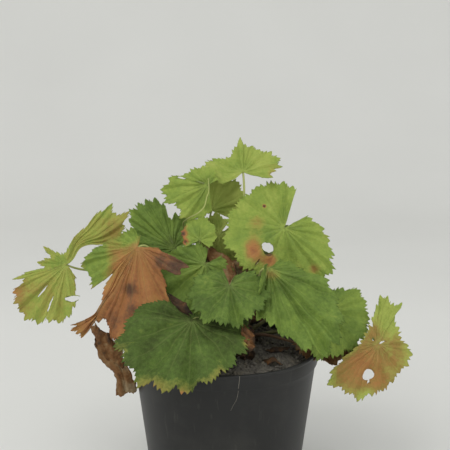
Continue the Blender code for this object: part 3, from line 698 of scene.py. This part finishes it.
def studio_paper():
    """Background paper: matt and pale, clouded too faintly to see."""
    material, node, place = new_material("studio_paper", roughness=0.95, specular=0.05)
    cloud = node("TexNoise", {"Vector": place, "Scale": per_mm(400), "Detail": 2.0})
    colour = node("ValToRGB", {"Fac": cloud}, stops=((0.3, "#d9d9d5"), (0.7, "#ddddd9")))
    return finish(material, Base_Color=colour)


# ---- Leaves ----


def leaf_axes(item):
    """The blade's level, up-slope and upper-face directions."""
    turn, rise = np.radians(item.face[:2])
    upper = around(np.cos(rise), turn, np.sin(rise))
    level = unit(np.cross((0, 0, 1), upper))
    return level, np.cross(upper, level), upper


def between_lobes(item, number, place):
    """One of a lobe's numbers, eased from one lobe's middle to the next. place counts the lobes from 0."""
    values = np.array([(*lobe, 0, 0)[number] for lobe in item.lobes], float)
    position = np.clip(place - 0.5, 0, len(values) - 1)
    first = np.minimum(position.astype(int), len(values) - 2)
    share = ease(0, 1, position - first)
    return values[first] * (1 - share) + values[first + 1] * share


def lobe_directions(item, place):
    """Directions on the blade, in radians, that pass each lobe's own at its middle."""
    headings = np.array([lobe[0] for lobe in item.lobes], float)
    places = np.concatenate([[-0.5], np.arange(len(headings)) + 0.5, [len(headings) + 0.5]])
    ends = np.concatenate([[2 * headings[0] - headings[1]], headings, [2 * headings[-1] - headings[-2]]])
    return np.radians(np.interp(place, places, ends))


def margin_radius(item, place):
    """How far the margin is from the stalk's end: the lobes' lengths, cut back towards each gap by a power of
    the distance from the lobe's middle."""
    gaps = [item.cuts.get(gap, (item.cut, CUT_SHARPNESS)) for gap in range(len(item.lobes) + 1)]
    depth, power = np.array(gaps).T
    gap = np.round(place).astype(int)
    aside = np.abs(2 * (place % 1.0) - 1)
    return between_lobes(item, 1, place) * MM * (1 - depth[gap] * aside ** power[gap])


def margin_teeth(item, index):
    """Places along the margin, the distance along it to each, and how far each stands out.

    Each half lobe holds a whole number of teeth. A tooth leans to its lobe's tip: it rises over two thirds of
    its width and falls over one third, and no two are of one size."""
    halves = 2 * len(item.lobes)
    fine = np.linspace(0, len(item.lobes), halves * FINE_STEPS + 1)
    radius, angle = margin_radius(item, fine), lobe_directions(item, fine)
    path = around(radius, angle, 0)
    along = np.append(0, np.cumsum(np.linalg.norm(np.diff(path, axis=0), axis=1)))
    knots = along[::FINE_STEPS]
    teeth = np.maximum(1, np.round(np.diff(knots) / TOOTH_PITCH)).astype(int)
    steps = [np.linspace(knots[half], knots[half + 1], teeth[half] * TOOTH_STEPS, endpoint=False)
             for half in range(halves)]
    arc = np.append(np.concatenate(steps), knots[-1])
    place = np.interp(arc, along, fine)

    half = np.append(np.repeat(np.arange(halves), teeth * TOOTH_STEPS), halves - 1)
    share = (arc - knots[half]) / (knots[half + 1] - knots[half])
    phase = teeth[half] * np.where(half % 2 == 0, 1 - share, share)
    rest = phase % 1.0
    saw = np.where(rest < TOOTH_RISE, 1 - rest / TOOTH_RISE, (rest - TOOTH_RISE) / (1 - TOOTH_RISE))
    size = 0.6 + 0.8 * unit_hash(half, np.floor(phase + 1 - TOOTH_RISE), np.full(half.shape, index))
    return place, arc, item.tooth * MM * (saw * size - 0.4)


def blade_surface(item, index, place, arc, tooth, share):
    """Points of the blade, its flat plan in metres, and the veins' strength and place at each.

    A radial line is an arc as long as the margin's radius there. It starts at the lobe's lift and turns by
    the lobe's curl, and a pinch draws lines together about one direction. Across the arc the sheet is pleated
    once a lobe, waved, crinkled, ruffled at the margin, domed between its veins and sunk along them."""
    level, slope, upper = leaf_axes(item)
    angle = lobe_directions(item, place) * np.ones_like(share)
    spread = np.gradient(lobe_directions(item, place[0]), place[0])
    jagged = JAG_HEIGHT * rough(arc / WANDER_LENGTH, 0 * arc + index, index)
    length = margin_radius(item, place) + (tooth + jagged) * share ** 9
    radius = length * share
    narrow = 1.0
    for first, last, direction, out, width, strength in item.pinches:
        among = ease(first - 0.4, first, place) * (1 - ease(last + 1, last + 1.4, place))
        drawn = strength * among * np.exp(-((radius / MM - out) / width) ** 2)
        angle = angle + drawn * (math.radians(direction) - angle)
        narrow = narrow * (1 - drawn)
    plan = around(radius, angle, 0)[..., :2]

    # Each lobe's main vein runs out along its middle, and side veins leave it slanting outwards
    lobe = np.floor(place)
    aside = (place % 1.0 - 0.5) * spread * radius * narrow
    aside = aside + VEIN_WANDER * noise(radius / WANDER_LENGTH, lobe * 5, index) * ease(0.05, 0.4, share)
    main_vein = np.exp(-(aside / (VEIN_WIDTH * (1.2 - 0.75 * share))) ** 2)
    leg = (radius - 0.85 * np.abs(aside)) / SIDE_VEIN_SPACING + unit_hash(lobe, np.sign(aside) + 2)
    side_vein = np.exp(-(((leg % 1.0) - 0.5) * SIDE_VEIN_SPACING / (0.6 * VEIN_WIDTH)) ** 2)
    side_vein = side_vein * ease(0.4 * MM, 1.6 * MM, np.abs(aside)) * ease(0.12, 0.3, share)
    dome = np.abs(np.sin(np.pi * (leg + 0.5))) * ease(0, 2.5 * MM, np.abs(aside))

    # Every wave has a seed of its own, worked out from the leaf's index
    x, y = plan[..., 0], plan[..., 1]
    wave = rough(x / WAVE_LENGTH + 7.3 * index, y / WAVE_LENGTH, index + 31, 2)
    crinkle = rough(x / CRINKLE_LENGTH + index, y / CRINKLE_LENGTH, index + 51, 2)
    ruffle = noise(arc / RUFFLE_LENGTH, share * 1.5, index + 77)
    pleat = item.pleat * radius * narrow * (1 - 0.5 * share)
    height = pleat * np.cos(2 * np.pi * place) * (1 + 0.6 * noise(lobe * 3.7, share * 2, index))
    height = height + ease(0.02, 0.15, share) * (
        DOME_HEIGHT * dome - VEIN_DEPTH * np.maximum(main_vein, 0.6 * side_vein))
    height = height + item.ruffle * MM * (1.9 * wave * ease(0, 0.5, share) + 0.9 * ruffle * share ** 4)
    height = height + CRINKLE_HEIGHT * crinkle * ease(0, 0.3, share)

    # Out along the arc. The hundredth of a degree keeps its radius finite where a lobe has no curl
    lift = np.radians(between_lobes(item, 2, place))
    curl = np.radians(between_lobes(item, 3, place) + 0.01)
    turned = lift + curl * share
    run = length / curl * (np.sin(turned) - np.sin(lift)) - np.sin(turned) * height
    rise = length / curl * (np.cos(lift) - np.cos(turned)) + np.cos(turned) * height
    out = np.cos(angle)[..., None] * level + np.sin(angle)[..., None] * slope
    points = np.array(item.base) + run[..., None] * out + rise[..., None] * upper
    return points, plan, np.maximum(main_vein * (1.1 - 0.6 * share), 0.5 * side_vein), aside, radius


def plan_distance(plan, direction, out):
    """Each point's offset in mm from a place that lies out mm along a direction: across it and along it."""
    heading = math.radians(direction)
    along = plan @ (math.cos(heading), math.sin(heading)) / MM - out
    across = plan @ (-math.sin(heading), math.cos(heading)) / MM
    return across, along


def cut_holes(item, points, plan):
    """Moves the points inside a hole out to its uneven rim, and says which points it spared."""
    spared = np.ones(points.shape[:2], bool)
    for direction, out, half_across, half_along in item.holes:
        across, along = plan_distance(plan, direction, out)
        across, along = across / half_across, along / half_along
        turn = np.arctan2(along, across)
        uneven = 1 + 0.10 * np.sin(2 * turn + out) + 0.07 * np.sin(3 * turn + direction)
        depth = np.hypot(across, along) / uneven
        centre = points.reshape(-1, 3)[np.argmin(depth)]
        inside = depth < 1
        moved = centre + (points - centre) / np.maximum(depth, 0.05)[..., None]
        points = np.where(inside[..., None], moved, points)
        spared &= ~inside
    return points, spared


def make_blade(item, index, faces_up, faces_down):
    """The blade as a lobed, toothed fan of rings about the stalk's end, with its holes, then thickened. The
    rings lie a little closer together towards the margin."""
    place, arc, tooth = margin_teeth(item, index)
    size = max(lobe[1] for lobe in item.lobes) * MM
    rows, columns = int(np.clip(size / RING_SPACING, 10, 34)), len(place)
    share = np.linspace(0, 1, rows + 1)[1:, None] ** 0.85
    margin = (place[None], arc[None], tooth[None])
    points, plan, vein, aside, radius = blade_surface(item, index, *margin, share)
    points, spared = cut_holes(item, points, plan)

    age = item.age + item.edge * share ** 5 + 0.05 * rough(arc / PATCH_LENGTH, share * 3, index + 5)
    for direction, out, reach, amount in item.patches:
        across, along = plan_distance(plan, direction, out)
        age = age + amount * np.exp(-(across ** 2 + along ** 2) / reach ** 2)
    tint = item.tint + 0.10 * noise(place * 0.7, share * 2, index + 9) + 0.05 * share

    quads = grid_faces(rows, columns)[:, ::-1]
    quads = quads[spared.reshape(-1)[quads].any(axis=1)]
    first = np.arange(columns - 1)
    fan = np.stack([np.full(columns - 1, rows * columns), first, first + 1], axis=1)
    blade = mesh_object(f"leaf_{item.name}", np.concatenate([points.reshape(-1, 3), [item.base]]),
                        quads.tolist() + fan.tolist(), faces_up)
    put_values(blade, Age=np.append(np.clip(age, 0, 1.1), item.age), Tint=np.append(tint, item.tint),
               Tone=np.full(tint.size + 1, item.tint), Vein=np.append(vein, 1.0))
    map_lobes(blade, np.append(aside, 0), np.append(radius, 0))
    with opened(blade) as shape:
        unused = [point for point in shape.verts if not point.link_faces]
        bmesh.ops.delete(shape, geom=unused, context="VERTS")
    blade.data.materials.append(faces_down)
    thicken(blade, -1)
    return belongs(blade, item.slot, f"blade_{item.name}")


def map_lobes(blade, aside, radius):
    """A UV map in millimetres: across each lobe's own vein, and along it."""
    layer = blade.data.uv_layers.new(name="Lobe")
    corners = np.empty(len(blade.data.loops), np.int64)
    blade.data.loops.foreach_get("vertex_index", corners)
    coordinates = np.stack([aside[corners], radius[corners]], axis=1) / MM
    layer.data.foreach_set("uv", coordinates.astype(np.float32).ravel())


def crown_point(azimuth, tilt):
    """A point on the crown's dome and the direction straight out of it. Tilt is measured from the top."""
    turn, lean = np.radians((azimuth, tilt))
    point = around(CROWN_RADIUS * np.sin(lean), turn, CROWN_BASE + CROWN_HEIGHT * np.cos(lean))
    return point, unit(around(np.sin(lean) / CROWN_RADIUS, turn, np.cos(lean) / CROWN_HEIGHT))


def stalk_route(item):
    """A cubic from 1.5 mm inside the crown to just under the blade's base, arriving from the notch side."""
    level, slope, upper = leaf_axes(item)
    middle = math.radians(item.face[2])
    notch = level * math.cos(middle) + slope * math.sin(middle)
    foot, out = crown_point(*item.foot)
    start = foot - out * 1.5 * MM
    tip = np.array(item.base) - upper * 0.8 * MM - notch * 1.0 * MM
    first = foot + out * item.rise
    last = tip + (notch * 0.7 - upper * 0.7) * item.bow
    t = np.linspace(0, 1, STALK_STEPS)[:, None]
    return start * (1 - t) ** 3 + first * 3 * t * (1 - t) ** 2 + last * 3 * t * t * (1 - t) + tip * t ** 3


def make_stalk(item, index, material):
    """A slim tapering stalk, channelled along one side and swollen a little at its foot."""
    path = stalk_route(item)
    share = np.linspace(0, 1, len(path))
    swollen = 1 + 0.5 * np.exp(-(share / 0.06) ** 2)
    uneven = 1 + 0.05 * noise(share * 9, share * 0, index)
    radii = (STALK_FOOT_RADIUS + (STALK_TIP_RADIUS - STALK_FOOT_RADIUS) * share) * swollen * uneven
    stalk = tube(f"petiole_{item.name}", path, radii, share, material, sides=STALK_SIDES, groove=0.25)
    slot = "dead_stalk" if item.name.startswith("dead") else "stalk"
    return belongs(stalk, slot, f"stalk_{item.name}")


def smooth_path(knots, count):
    """A curve through the knots: a cubic between each two, whose slope at a knot is its neighbours'."""
    knots = np.asarray(knots, float)
    slopes = np.gradient(knots, axis=0)
    t = np.linspace(0, len(knots) - 1, count)
    first = np.minimum(t.astype(int), len(knots) - 2)
    f = (t - first)[:, None]
    return (knots[first] * (2 * f ** 3 - 3 * f ** 2 + 1) + slopes[first] * (f ** 3 - 2 * f ** 2 + f)
            + knots[first + 1] * (3 * f ** 2 - 2 * f ** 3) + slopes[first + 1] * (f ** 3 - f ** 2))


def make_withered(item, index, material):
    """A withered blade: a strip carried along a path, whose side is square to it and turned about it.

    Across, the strip is an arc of the item's cup. It is crumpled by ridges some 5 mm apart, where noise
    passes through zero, and torn along its edges and ends."""
    rows, columns = 70, 26
    path = smooth_path(item.path, rows)
    length = np.linalg.norm(np.diff(path, axis=0), axis=1).sum()
    along = unit(np.gradient(path, axis=0))
    side = unit(np.cross(along, (0, 1, 0)))
    face = np.cross(side, along)
    turn = np.radians(spread_over(rows, item.turns))[:, None]
    side, face = side * np.cos(turn) + face * np.sin(turn), face * np.cos(turn) - side * np.sin(turn)

    u = np.linspace(-1, 1, columns)
    v = np.linspace(0, 1, rows)[:, None]
    half = spread_over(rows, item.widths)[:, None] / 2 * MM
    half = half * (1 + 0.16 * rough(v * length / (5 * MM), np.sign(u) * 3, index, 3))
    s, t = u * half / (4.5 * MM), v * length / (6 * MM * item.draw)
    ridges = 1 - 2.2 * np.abs(noise(s + 0.4 * t, t, index + 3))
    ridges = ridges + 0.5 - np.abs(noise(2.3 * s, 2.1 * t, index))
    aside = half * np.sin(item.cup * u) / item.cup + 0.35 * item.crumple * MM * noise(s, t, index + 8)
    out = half * (1 - np.cos(item.cup * u)) / item.cup + item.crumple * MM * ridges
    ragged = 2.2 * MM * rough(u * 2.5, u * 0 + index, index + 4) * (ease(0.85, 1, v) - ease(0.85, 1, 1 - v))
    points = (path[:, None] + aside[..., None] * side[:, None] + out[..., None] * face[:, None]
              + ragged[..., None] * along[:, None])
    strip = mesh_object(f"withered_{item.name}", points, grid_faces(rows, columns).tolist(), material)
    # Painted highlight and shade: the tone is raised on the ridges' crests and lowered in their valleys, so
    # the folds look lit and shaded. It is also lowered along the strip's two long edges.
    put_values(strip, Tone=item.tone + 0.12 * ridges - 0.10 * (np.abs(u) > 0.9))
    thicken(strip, 0)
    return belongs(strip, "dead_leaf", *item.nodes)


def litter_flake(name, turn, cup, tone):
    """A withered flake in its CAD node's place: nearly as long as the node is in X, and lying in the
    direction of turn."""
    low, high = (np.array(corner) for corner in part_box(name))
    middle = (low + high) / 2
    length, width, height = high - low
    step = around(0.9 * length / 2, math.radians(turn), 0)
    lifted = np.array((0, 0, 0.2 * height))
    path = (middle - step, middle - step * 0.4 + lifted, middle + step * 0.4 + lifted, middle + step)
    widths = [width / MM * share for share in (0.3, 0.8, 0.7, 0.2)]
    return Withered(name, path, widths, turns=(90, 80, 100), crumple=0.9, tone=tone, cup=cup, draw=1.0,
                    nodes=(name,))


def make_thread(name, path, radii, material, slot):
    """A fine round tube carried along a path, as a young stalk or a dried root fibre is."""
    share = np.linspace(1, 0.4, THREAD_STEPS)
    route, widths = smooth_path(path, THREAD_STEPS), spread_over(THREAD_STEPS, radii)
    return belongs(tube(name, route, widths, share, material), slot)


# ---- Pot, compost and crown ----


def wall_radius(height):
    """The pot wall's outer radius at a height below the collar: a straight taper."""
    return FOOT_RADIUS + (WALL_TOP_RADIUS - FOOT_RADIUS) * height / (RIM_Z - COLLAR_HEIGHT)


def pot_profile():
    """(radius, height) down the outside from the rim, across the base, up the inside and back to the rim."""
    collar_foot = RIM_Z - COLLAR_HEIGHT
    rim = [(RIM_RADIUS - RIM_BEAD + RIM_BEAD * math.sin(a), RIM_Z - RIM_BEAD + RIM_BEAD * math.cos(a))
           for a in np.linspace(0, math.pi / 2, 6)]
    collar = [
        (RIM_RADIUS - 0.1 * MM, RIM_Z - 1.6 * MM),
        (COLLAR_RADIUS + 0.1 * MM, RIM_Z - 2.2 * MM),
        (COLLAR_RADIUS, collar_foot + 0.5 * MM),
        (COLLAR_RADIUS - 0.15 * MM, collar_foot + 0.12 * MM),
        (COLLAR_RADIUS - 0.5 * MM, collar_foot),
        (WALL_TOP_RADIUS + 0.25 * MM, collar_foot - 0.15 * MM),
        (WALL_TOP_RADIUS, collar_foot - 0.5 * MM),
    ]
    wall = [(wall_radius(z), z) for z in np.linspace(collar_foot - 4 * MM, 2.0 * MM, 24)]
    base = [
        (wall_radius(0.9 * MM) - 0.15 * MM, 0.9 * MM),
        (FOOT_RADIUS - 0.6 * MM, 0.25 * MM),
        (FOOT_RADIUS - 1.2 * MM, 0),
        (FOOT_RADIUS - FOOT_WIDTH, 0),
        (FOOT_RADIUS - FOOT_WIDTH - 0.3 * MM, 0.3 * MM),
        (FOOT_RADIUS - FOOT_WIDTH - 1.0 * MM, FOOT_HEIGHT),
        (PAD_RADIUS + PAD_STEP, FOOT_HEIGHT),
        (PAD_RADIUS + 0.4 * MM, 0.3 * MM),
        (PAD_RADIUS, 0),
        (0, 0),
        (0, FLOOR_THICKNESS),
        (PAD_RADIUS, FLOOR_THICKNESS),
        (PAD_RADIUS + PAD_STEP, FLOOR_TOP),
        (wall_radius(FOOT_HEIGHT) - POT_WALL, FLOOR_TOP),
    ]
    inside = [
        (WALL_TOP_RADIUS - POT_WALL, collar_foot),
        (RIM_RADIUS - 2 * POT_WALL, RIM_Z - 1.0 * MM),
        (RIM_RADIUS - 1.75 * POT_WALL, RIM_Z - 0.3 * MM),
        (RIM_RADIUS - 1.5 * POT_WALL, RIM_Z),
    ]
    return rim + collar + wall + base + inside + rim[:1]


def make_pot(material):
    """The pot: a turned wall with six drainage holes bored through its floor."""
    radius, height = np.array(pot_profile(), float).T[..., None]
    pot = stacked_rings("nursery_pot", around(radius, full_turn(POT_SIDES), height), material)
    for angle in full_turn(DRAIN_HOLES) + math.pi / DRAIN_HOLES:
        bpy.ops.mesh.primitive_cylinder_add(vertices=DRAIN_SIDES, radius=DRAIN_RADIUS, depth=20 * MM,
                                            location=around(DRAIN_CIRCLE, angle, FOOT_HEIGHT))
        cutter = bpy.context.object
        bore = pot.modifiers.new("Drain", "BOOLEAN")
        bore.operation = "DIFFERENCE"
        bore.object = cutter
        apply_modifiers(pot)
        bpy.data.objects.remove(cutter)
    pot.data.set_sharp_from_angle(angle=SHARP_ANGLE)
    return belongs(pot, "pot", "pot")


def apply_modifiers(piece):
    """Makes the piece's modifiers part of its mesh."""
    bpy.context.view_layer.update()
    graph = bpy.context.evaluated_depsgraph_get()
    mesh = bpy.data.meshes.new_from_object(piece.evaluated_get(graph))
    piece.modifiers.clear()
    piece.data = mesh


def compost_height(x, y):
    """A low mound, level under the crown, with swells 26 to 70 mm long and lumps 7 mm apart and finer."""
    radius = np.hypot(x, y)
    share = np.clip((radius - CROWN_SEAT) / (COMPOST_RADIUS - CROWN_SEAT), 0, 1)
    ripple = np.sin(90 * x + 1.3) * np.cos(105 * y - 0.4) + 0.6 * np.sin(170 * (x + y))
    mound = COMPOST_MOUND * np.cos(share * np.pi / 2) + 0.9 * MM * ripple * np.sin(np.pi * share)
    crumbs = rough(x / (7 * MM), y / (7 * MM), 3, 4)
    return COMPOST_EDGE + mound + 0.9 * MM * crumbs * (1 - 0.7 * ease(58 * MM, 63 * MM, radius))


def make_compost(material):
    """The compost's broken surface, closed below by a plain wall and floor inside the pot."""
    radius = np.linspace(0.5 * MM, COMPOST_RADIUS, 74)
    radius = np.concatenate([[0], radius, [COMPOST_RADIUS + 1 * MM]])[:, None]
    turn = full_turn(COMPOST_SIDES)
    top = around(radius, turn, compost_height(radius * np.cos(turn), radius * np.sin(turn)))
    foot = np.array((wall_radius(FOOT_HEIGHT) - POT_WALL - 0.5 * MM, 0))[:, None]
    bottom = around(foot, turn, FLOOR_TOP + 0.3 * MM)
    compost = stacked_rings("compost_fill", np.concatenate([top, bottom]), material)
    return belongs(compost, "compost", "compost")


def lump_template():
    """An icosahedron's twelve points, a unit from its middle, and the twenty faces: each three points that
    are an edge apart, taken anticlockwise as seen from outside."""
    golden = (1 + 5 ** 0.5) / 2
    points = np.array([np.roll((x, y * golden, 0), k) for k in range(3) for y in (1, -1) for x in (-1, 1)])
    threes = np.array(list(combinations(range(len(points)), 3)))
    edges = np.linalg.norm(points[threes] - points[np.roll(threes, 1, axis=1)], axis=2)
    faces = threes[np.isclose(edges, 2).all(axis=1)]
    outward = np.linalg.det(points[faces]) > 0
    return points / math.hypot(1, golden), np.where(outward[:, None], faces, faces[:, ::-1])


def turn_to(random, count):
    """Random rotations, one a row, as 3 by 3 matrices built from two random directions."""
    first = unit(random.normal(size=(count, 3)))
    second = random.normal(size=(count, 3))
    second = unit(second - first * (first * second).sum(1)[:, None])
    return np.stack([first, second, np.cross(first, second)], axis=1)


def make_crumbs(material):
    """Crumbs and fibres of compost lying on the surface: rough twenty-sided lumps up to 1.9 mm in radius. One
    in eight is a fibre, up to 0.5 mm and drawn out four times as long."""
    random = np.random.default_rng(SEED)
    radius = CRUMB_SPREAD * np.sqrt(random.uniform(0.0, 1, CRUMBS))
    angle = random.uniform(0, 2 * np.pi, CRUMBS)
    x, y = radius * np.cos(angle), radius * np.sin(angle)
    size = random.gamma(2.2, 0.36 * MM, CRUMBS)
    length = np.where(random.uniform(size=CRUMBS) < 0.12, 4.0, 1.2)
    stretch = np.stack([length, np.ones(CRUMBS), np.full(CRUMBS, 0.7)], axis=1)
    size = np.minimum(size, np.where(length > 2, 0.5 * MM, 1.9 * MM))
    points, faces = lump_template()
    shape = points[None] * (1 + random.uniform(-0.25, 0.25, (CRUMBS, len(points), 1)))
    shape = shape * stretch[:, None] * size[:, None, None]
    shape = np.einsum("nij,nkj->nki", turn_to(random, CRUMBS), shape)
    place = np.stack([x, y, compost_height(x, y) + 0.3 * size], axis=1)
    faces = (faces[None] + len(points) * np.arange(CRUMBS)[:, None, None]).reshape(-1, 3)
    crumbs = mesh_object("compost_crumbs", shape + place[:, None], faces.tolist(), material, smooth=False)
    return belongs(crumbs, "compost")


def make_crown(material):
    """The rootstock's dome, knobbed where old stalks grew, with its foot sunk in the compost."""
    tilt = np.linspace(0.02, 1, 40)[:, None] * np.pi / 2
    turn = full_turn(CROWN_SIDES)
    size = 1 + 0.07 * rough(turn * 6 / np.pi, tilt * 5, 41, 3) * np.sin(tilt)
    base = CROWN_BASE - 0.6 * MM
    dome = around(CROWN_RADIUS * size * np.sin(tilt), turn, base + CROWN_HEIGHT * size * np.cos(tilt))
    top = around(np.zeros((1, 1)), turn, base + CROWN_HEIGHT)
    foot = dome[-1:] * (1, 1, 0) + (0, 0, CROWN_BASE - 2.5 * MM)
    rings = np.concatenate([top, dome, foot, foot * (0, 0, 1)])
    return belongs(stacked_rings("rootstock", rings, material), "crown", "crown")


def root_fibre_path():
    """The root fibre's points, lying on the collar and the wall."""
    x, below = np.array(ROOT_FIBRE).T * MM
    z = RIM_Z - below
    outside = np.where(z > RIM_Z - COLLAR_HEIGHT, COLLAR_RADIUS, wall_radius(z)) + 0.1 * MM
    outside[0] = RIM_RADIUS + 0.1 * MM
    return np.stack([x, -np.sqrt(outside ** 2 - x ** 2), z], axis=1)


# ---- Stage, camera and lights ----


def make_stage(material):
    """A plain pale floor that sweeps up into a backdrop."""
    bend = np.linspace(0, np.pi / 2, 16)[1:]
    y = np.concatenate([np.linspace(FLOOR_FRONT, FLOOR_BACK, 20), FLOOR_BACK + SWEEP_RADIUS * np.sin(bend),
                        np.full(6, FLOOR_BACK + SWEEP_RADIUS)])
    z = np.concatenate([np.zeros(20), SWEEP_RADIUS - SWEEP_RADIUS * np.cos(bend),
                        np.linspace(SWEEP_RADIUS + 0.2, BACKDROP_TOP, 6)])
    x = np.array((-STAGE_HALF_WIDTH, STAGE_HALF_WIDTH))
    points = np.stack(np.broadcast_arrays(x, y[:, None], z[:, None]), axis=-1)
    floor = mesh_object("studio_floor", points, grid_faces(len(y), 2).tolist(), material)


def into_scene(name, data, place, turn):
    """Puts a lamp or the camera in its place, turned by these angles."""
    thing = bpy.data.objects.new(name, data)
    bpy.context.scene.collection.objects.link(thing)
    thing.location = place
    thing.rotation_euler = turn
    return thing


def make_lights():
    """One broad soft lamp above and to the left of the camera, a weaker one to the right, and a pale sky."""
    for name, place, power in LAMPS:
        data = bpy.data.lights.new(name, "AREA")
        data.shape = "DISK"
        data.size = LAMP_SIZE
        data.energy = power
        x, y, z = np.array(LAMP_AIM) - place
        into_scene(name, data, place, (math.atan2(math.hypot(x, y), -z), 0, math.atan2(x, -y) + math.pi))
    world = bpy.data.worlds.new("studio")
    bpy.context.scene.world = world
    world.use_nodes = True
    sky = world.node_tree.nodes["Background"]
    sky.inputs["Color"].default_value = srgb(SKY_COLOUR)
    sky.inputs["Strength"].default_value = SKY_STRENGTH


def make_camera():
    """Eye level a little above the plant, looking slightly down, with a lens a little longer than normal."""
    data = bpy.data.cameras.new("camera")
    data.lens = LENS
    data.sensor_width = SENSOR
    bpy.context.scene.camera = into_scene("camera", data, EYE, (math.radians(90 - LOOK_DOWN), 0, 0))


def main():
    """Dresses the plant from its leaves down, then sets the stage."""
    upper, under = leaf_lamina("leaf_lamina", UPPER_SIDE), leaf_lamina("leaf_underside", UNDER_SIDE)
    dry = dry_leaf()
    green_stalk = stalk_skin("downy_stalk", ("#33281f", "#6d6f40", "#a5ab68"))
    dead_stalk = stalk_skin("dry_stalk", ("#3d2e23", "#5f4735", "#866b4e"))
    for index, item in enumerate(LEAVES):
        dead = item.slot == "dead_leaf"
        make_blade(item, index, dry if dead else upper, dry if dead else under)
        make_stalk(item, index, dead_stalk if dead else green_stalk)
    for index, item in enumerate(WITHERED_STALKS):
        make_stalk(item, index, dead_stalk)
    route = [*YOUNG_STALK, crown_point(*YOUNG_STALK_FOOT)[0]]
    make_thread("young_petiole", route, YOUNG_STALK_RADII, green_stalk, "stalk")
    flakes = [litter_flake(*flake) for flake in LITTER]
    for index, item in enumerate([*WITHERED, *flakes], start=WITHERED_INDEX):
        make_withered(item, index, dry)

    make_pot(moulded_polypropylene())
    compost = moist_compost()
    make_compost(compost)
    make_crumbs(compost)
    make_crown(rootstock_bark())
    root = stalk_skin("dry_root", ("#55524b", "#68655c", "#7a766c"))
    make_thread("root_fibre", root_fibre_path(), ROOT_FIBRE_RADII, root, "dead_stalk")
    make_stage(studio_paper())
    make_lights()
    make_camera()
    bpy.context.scene.view_settings.view_transform = "Standard"


main()
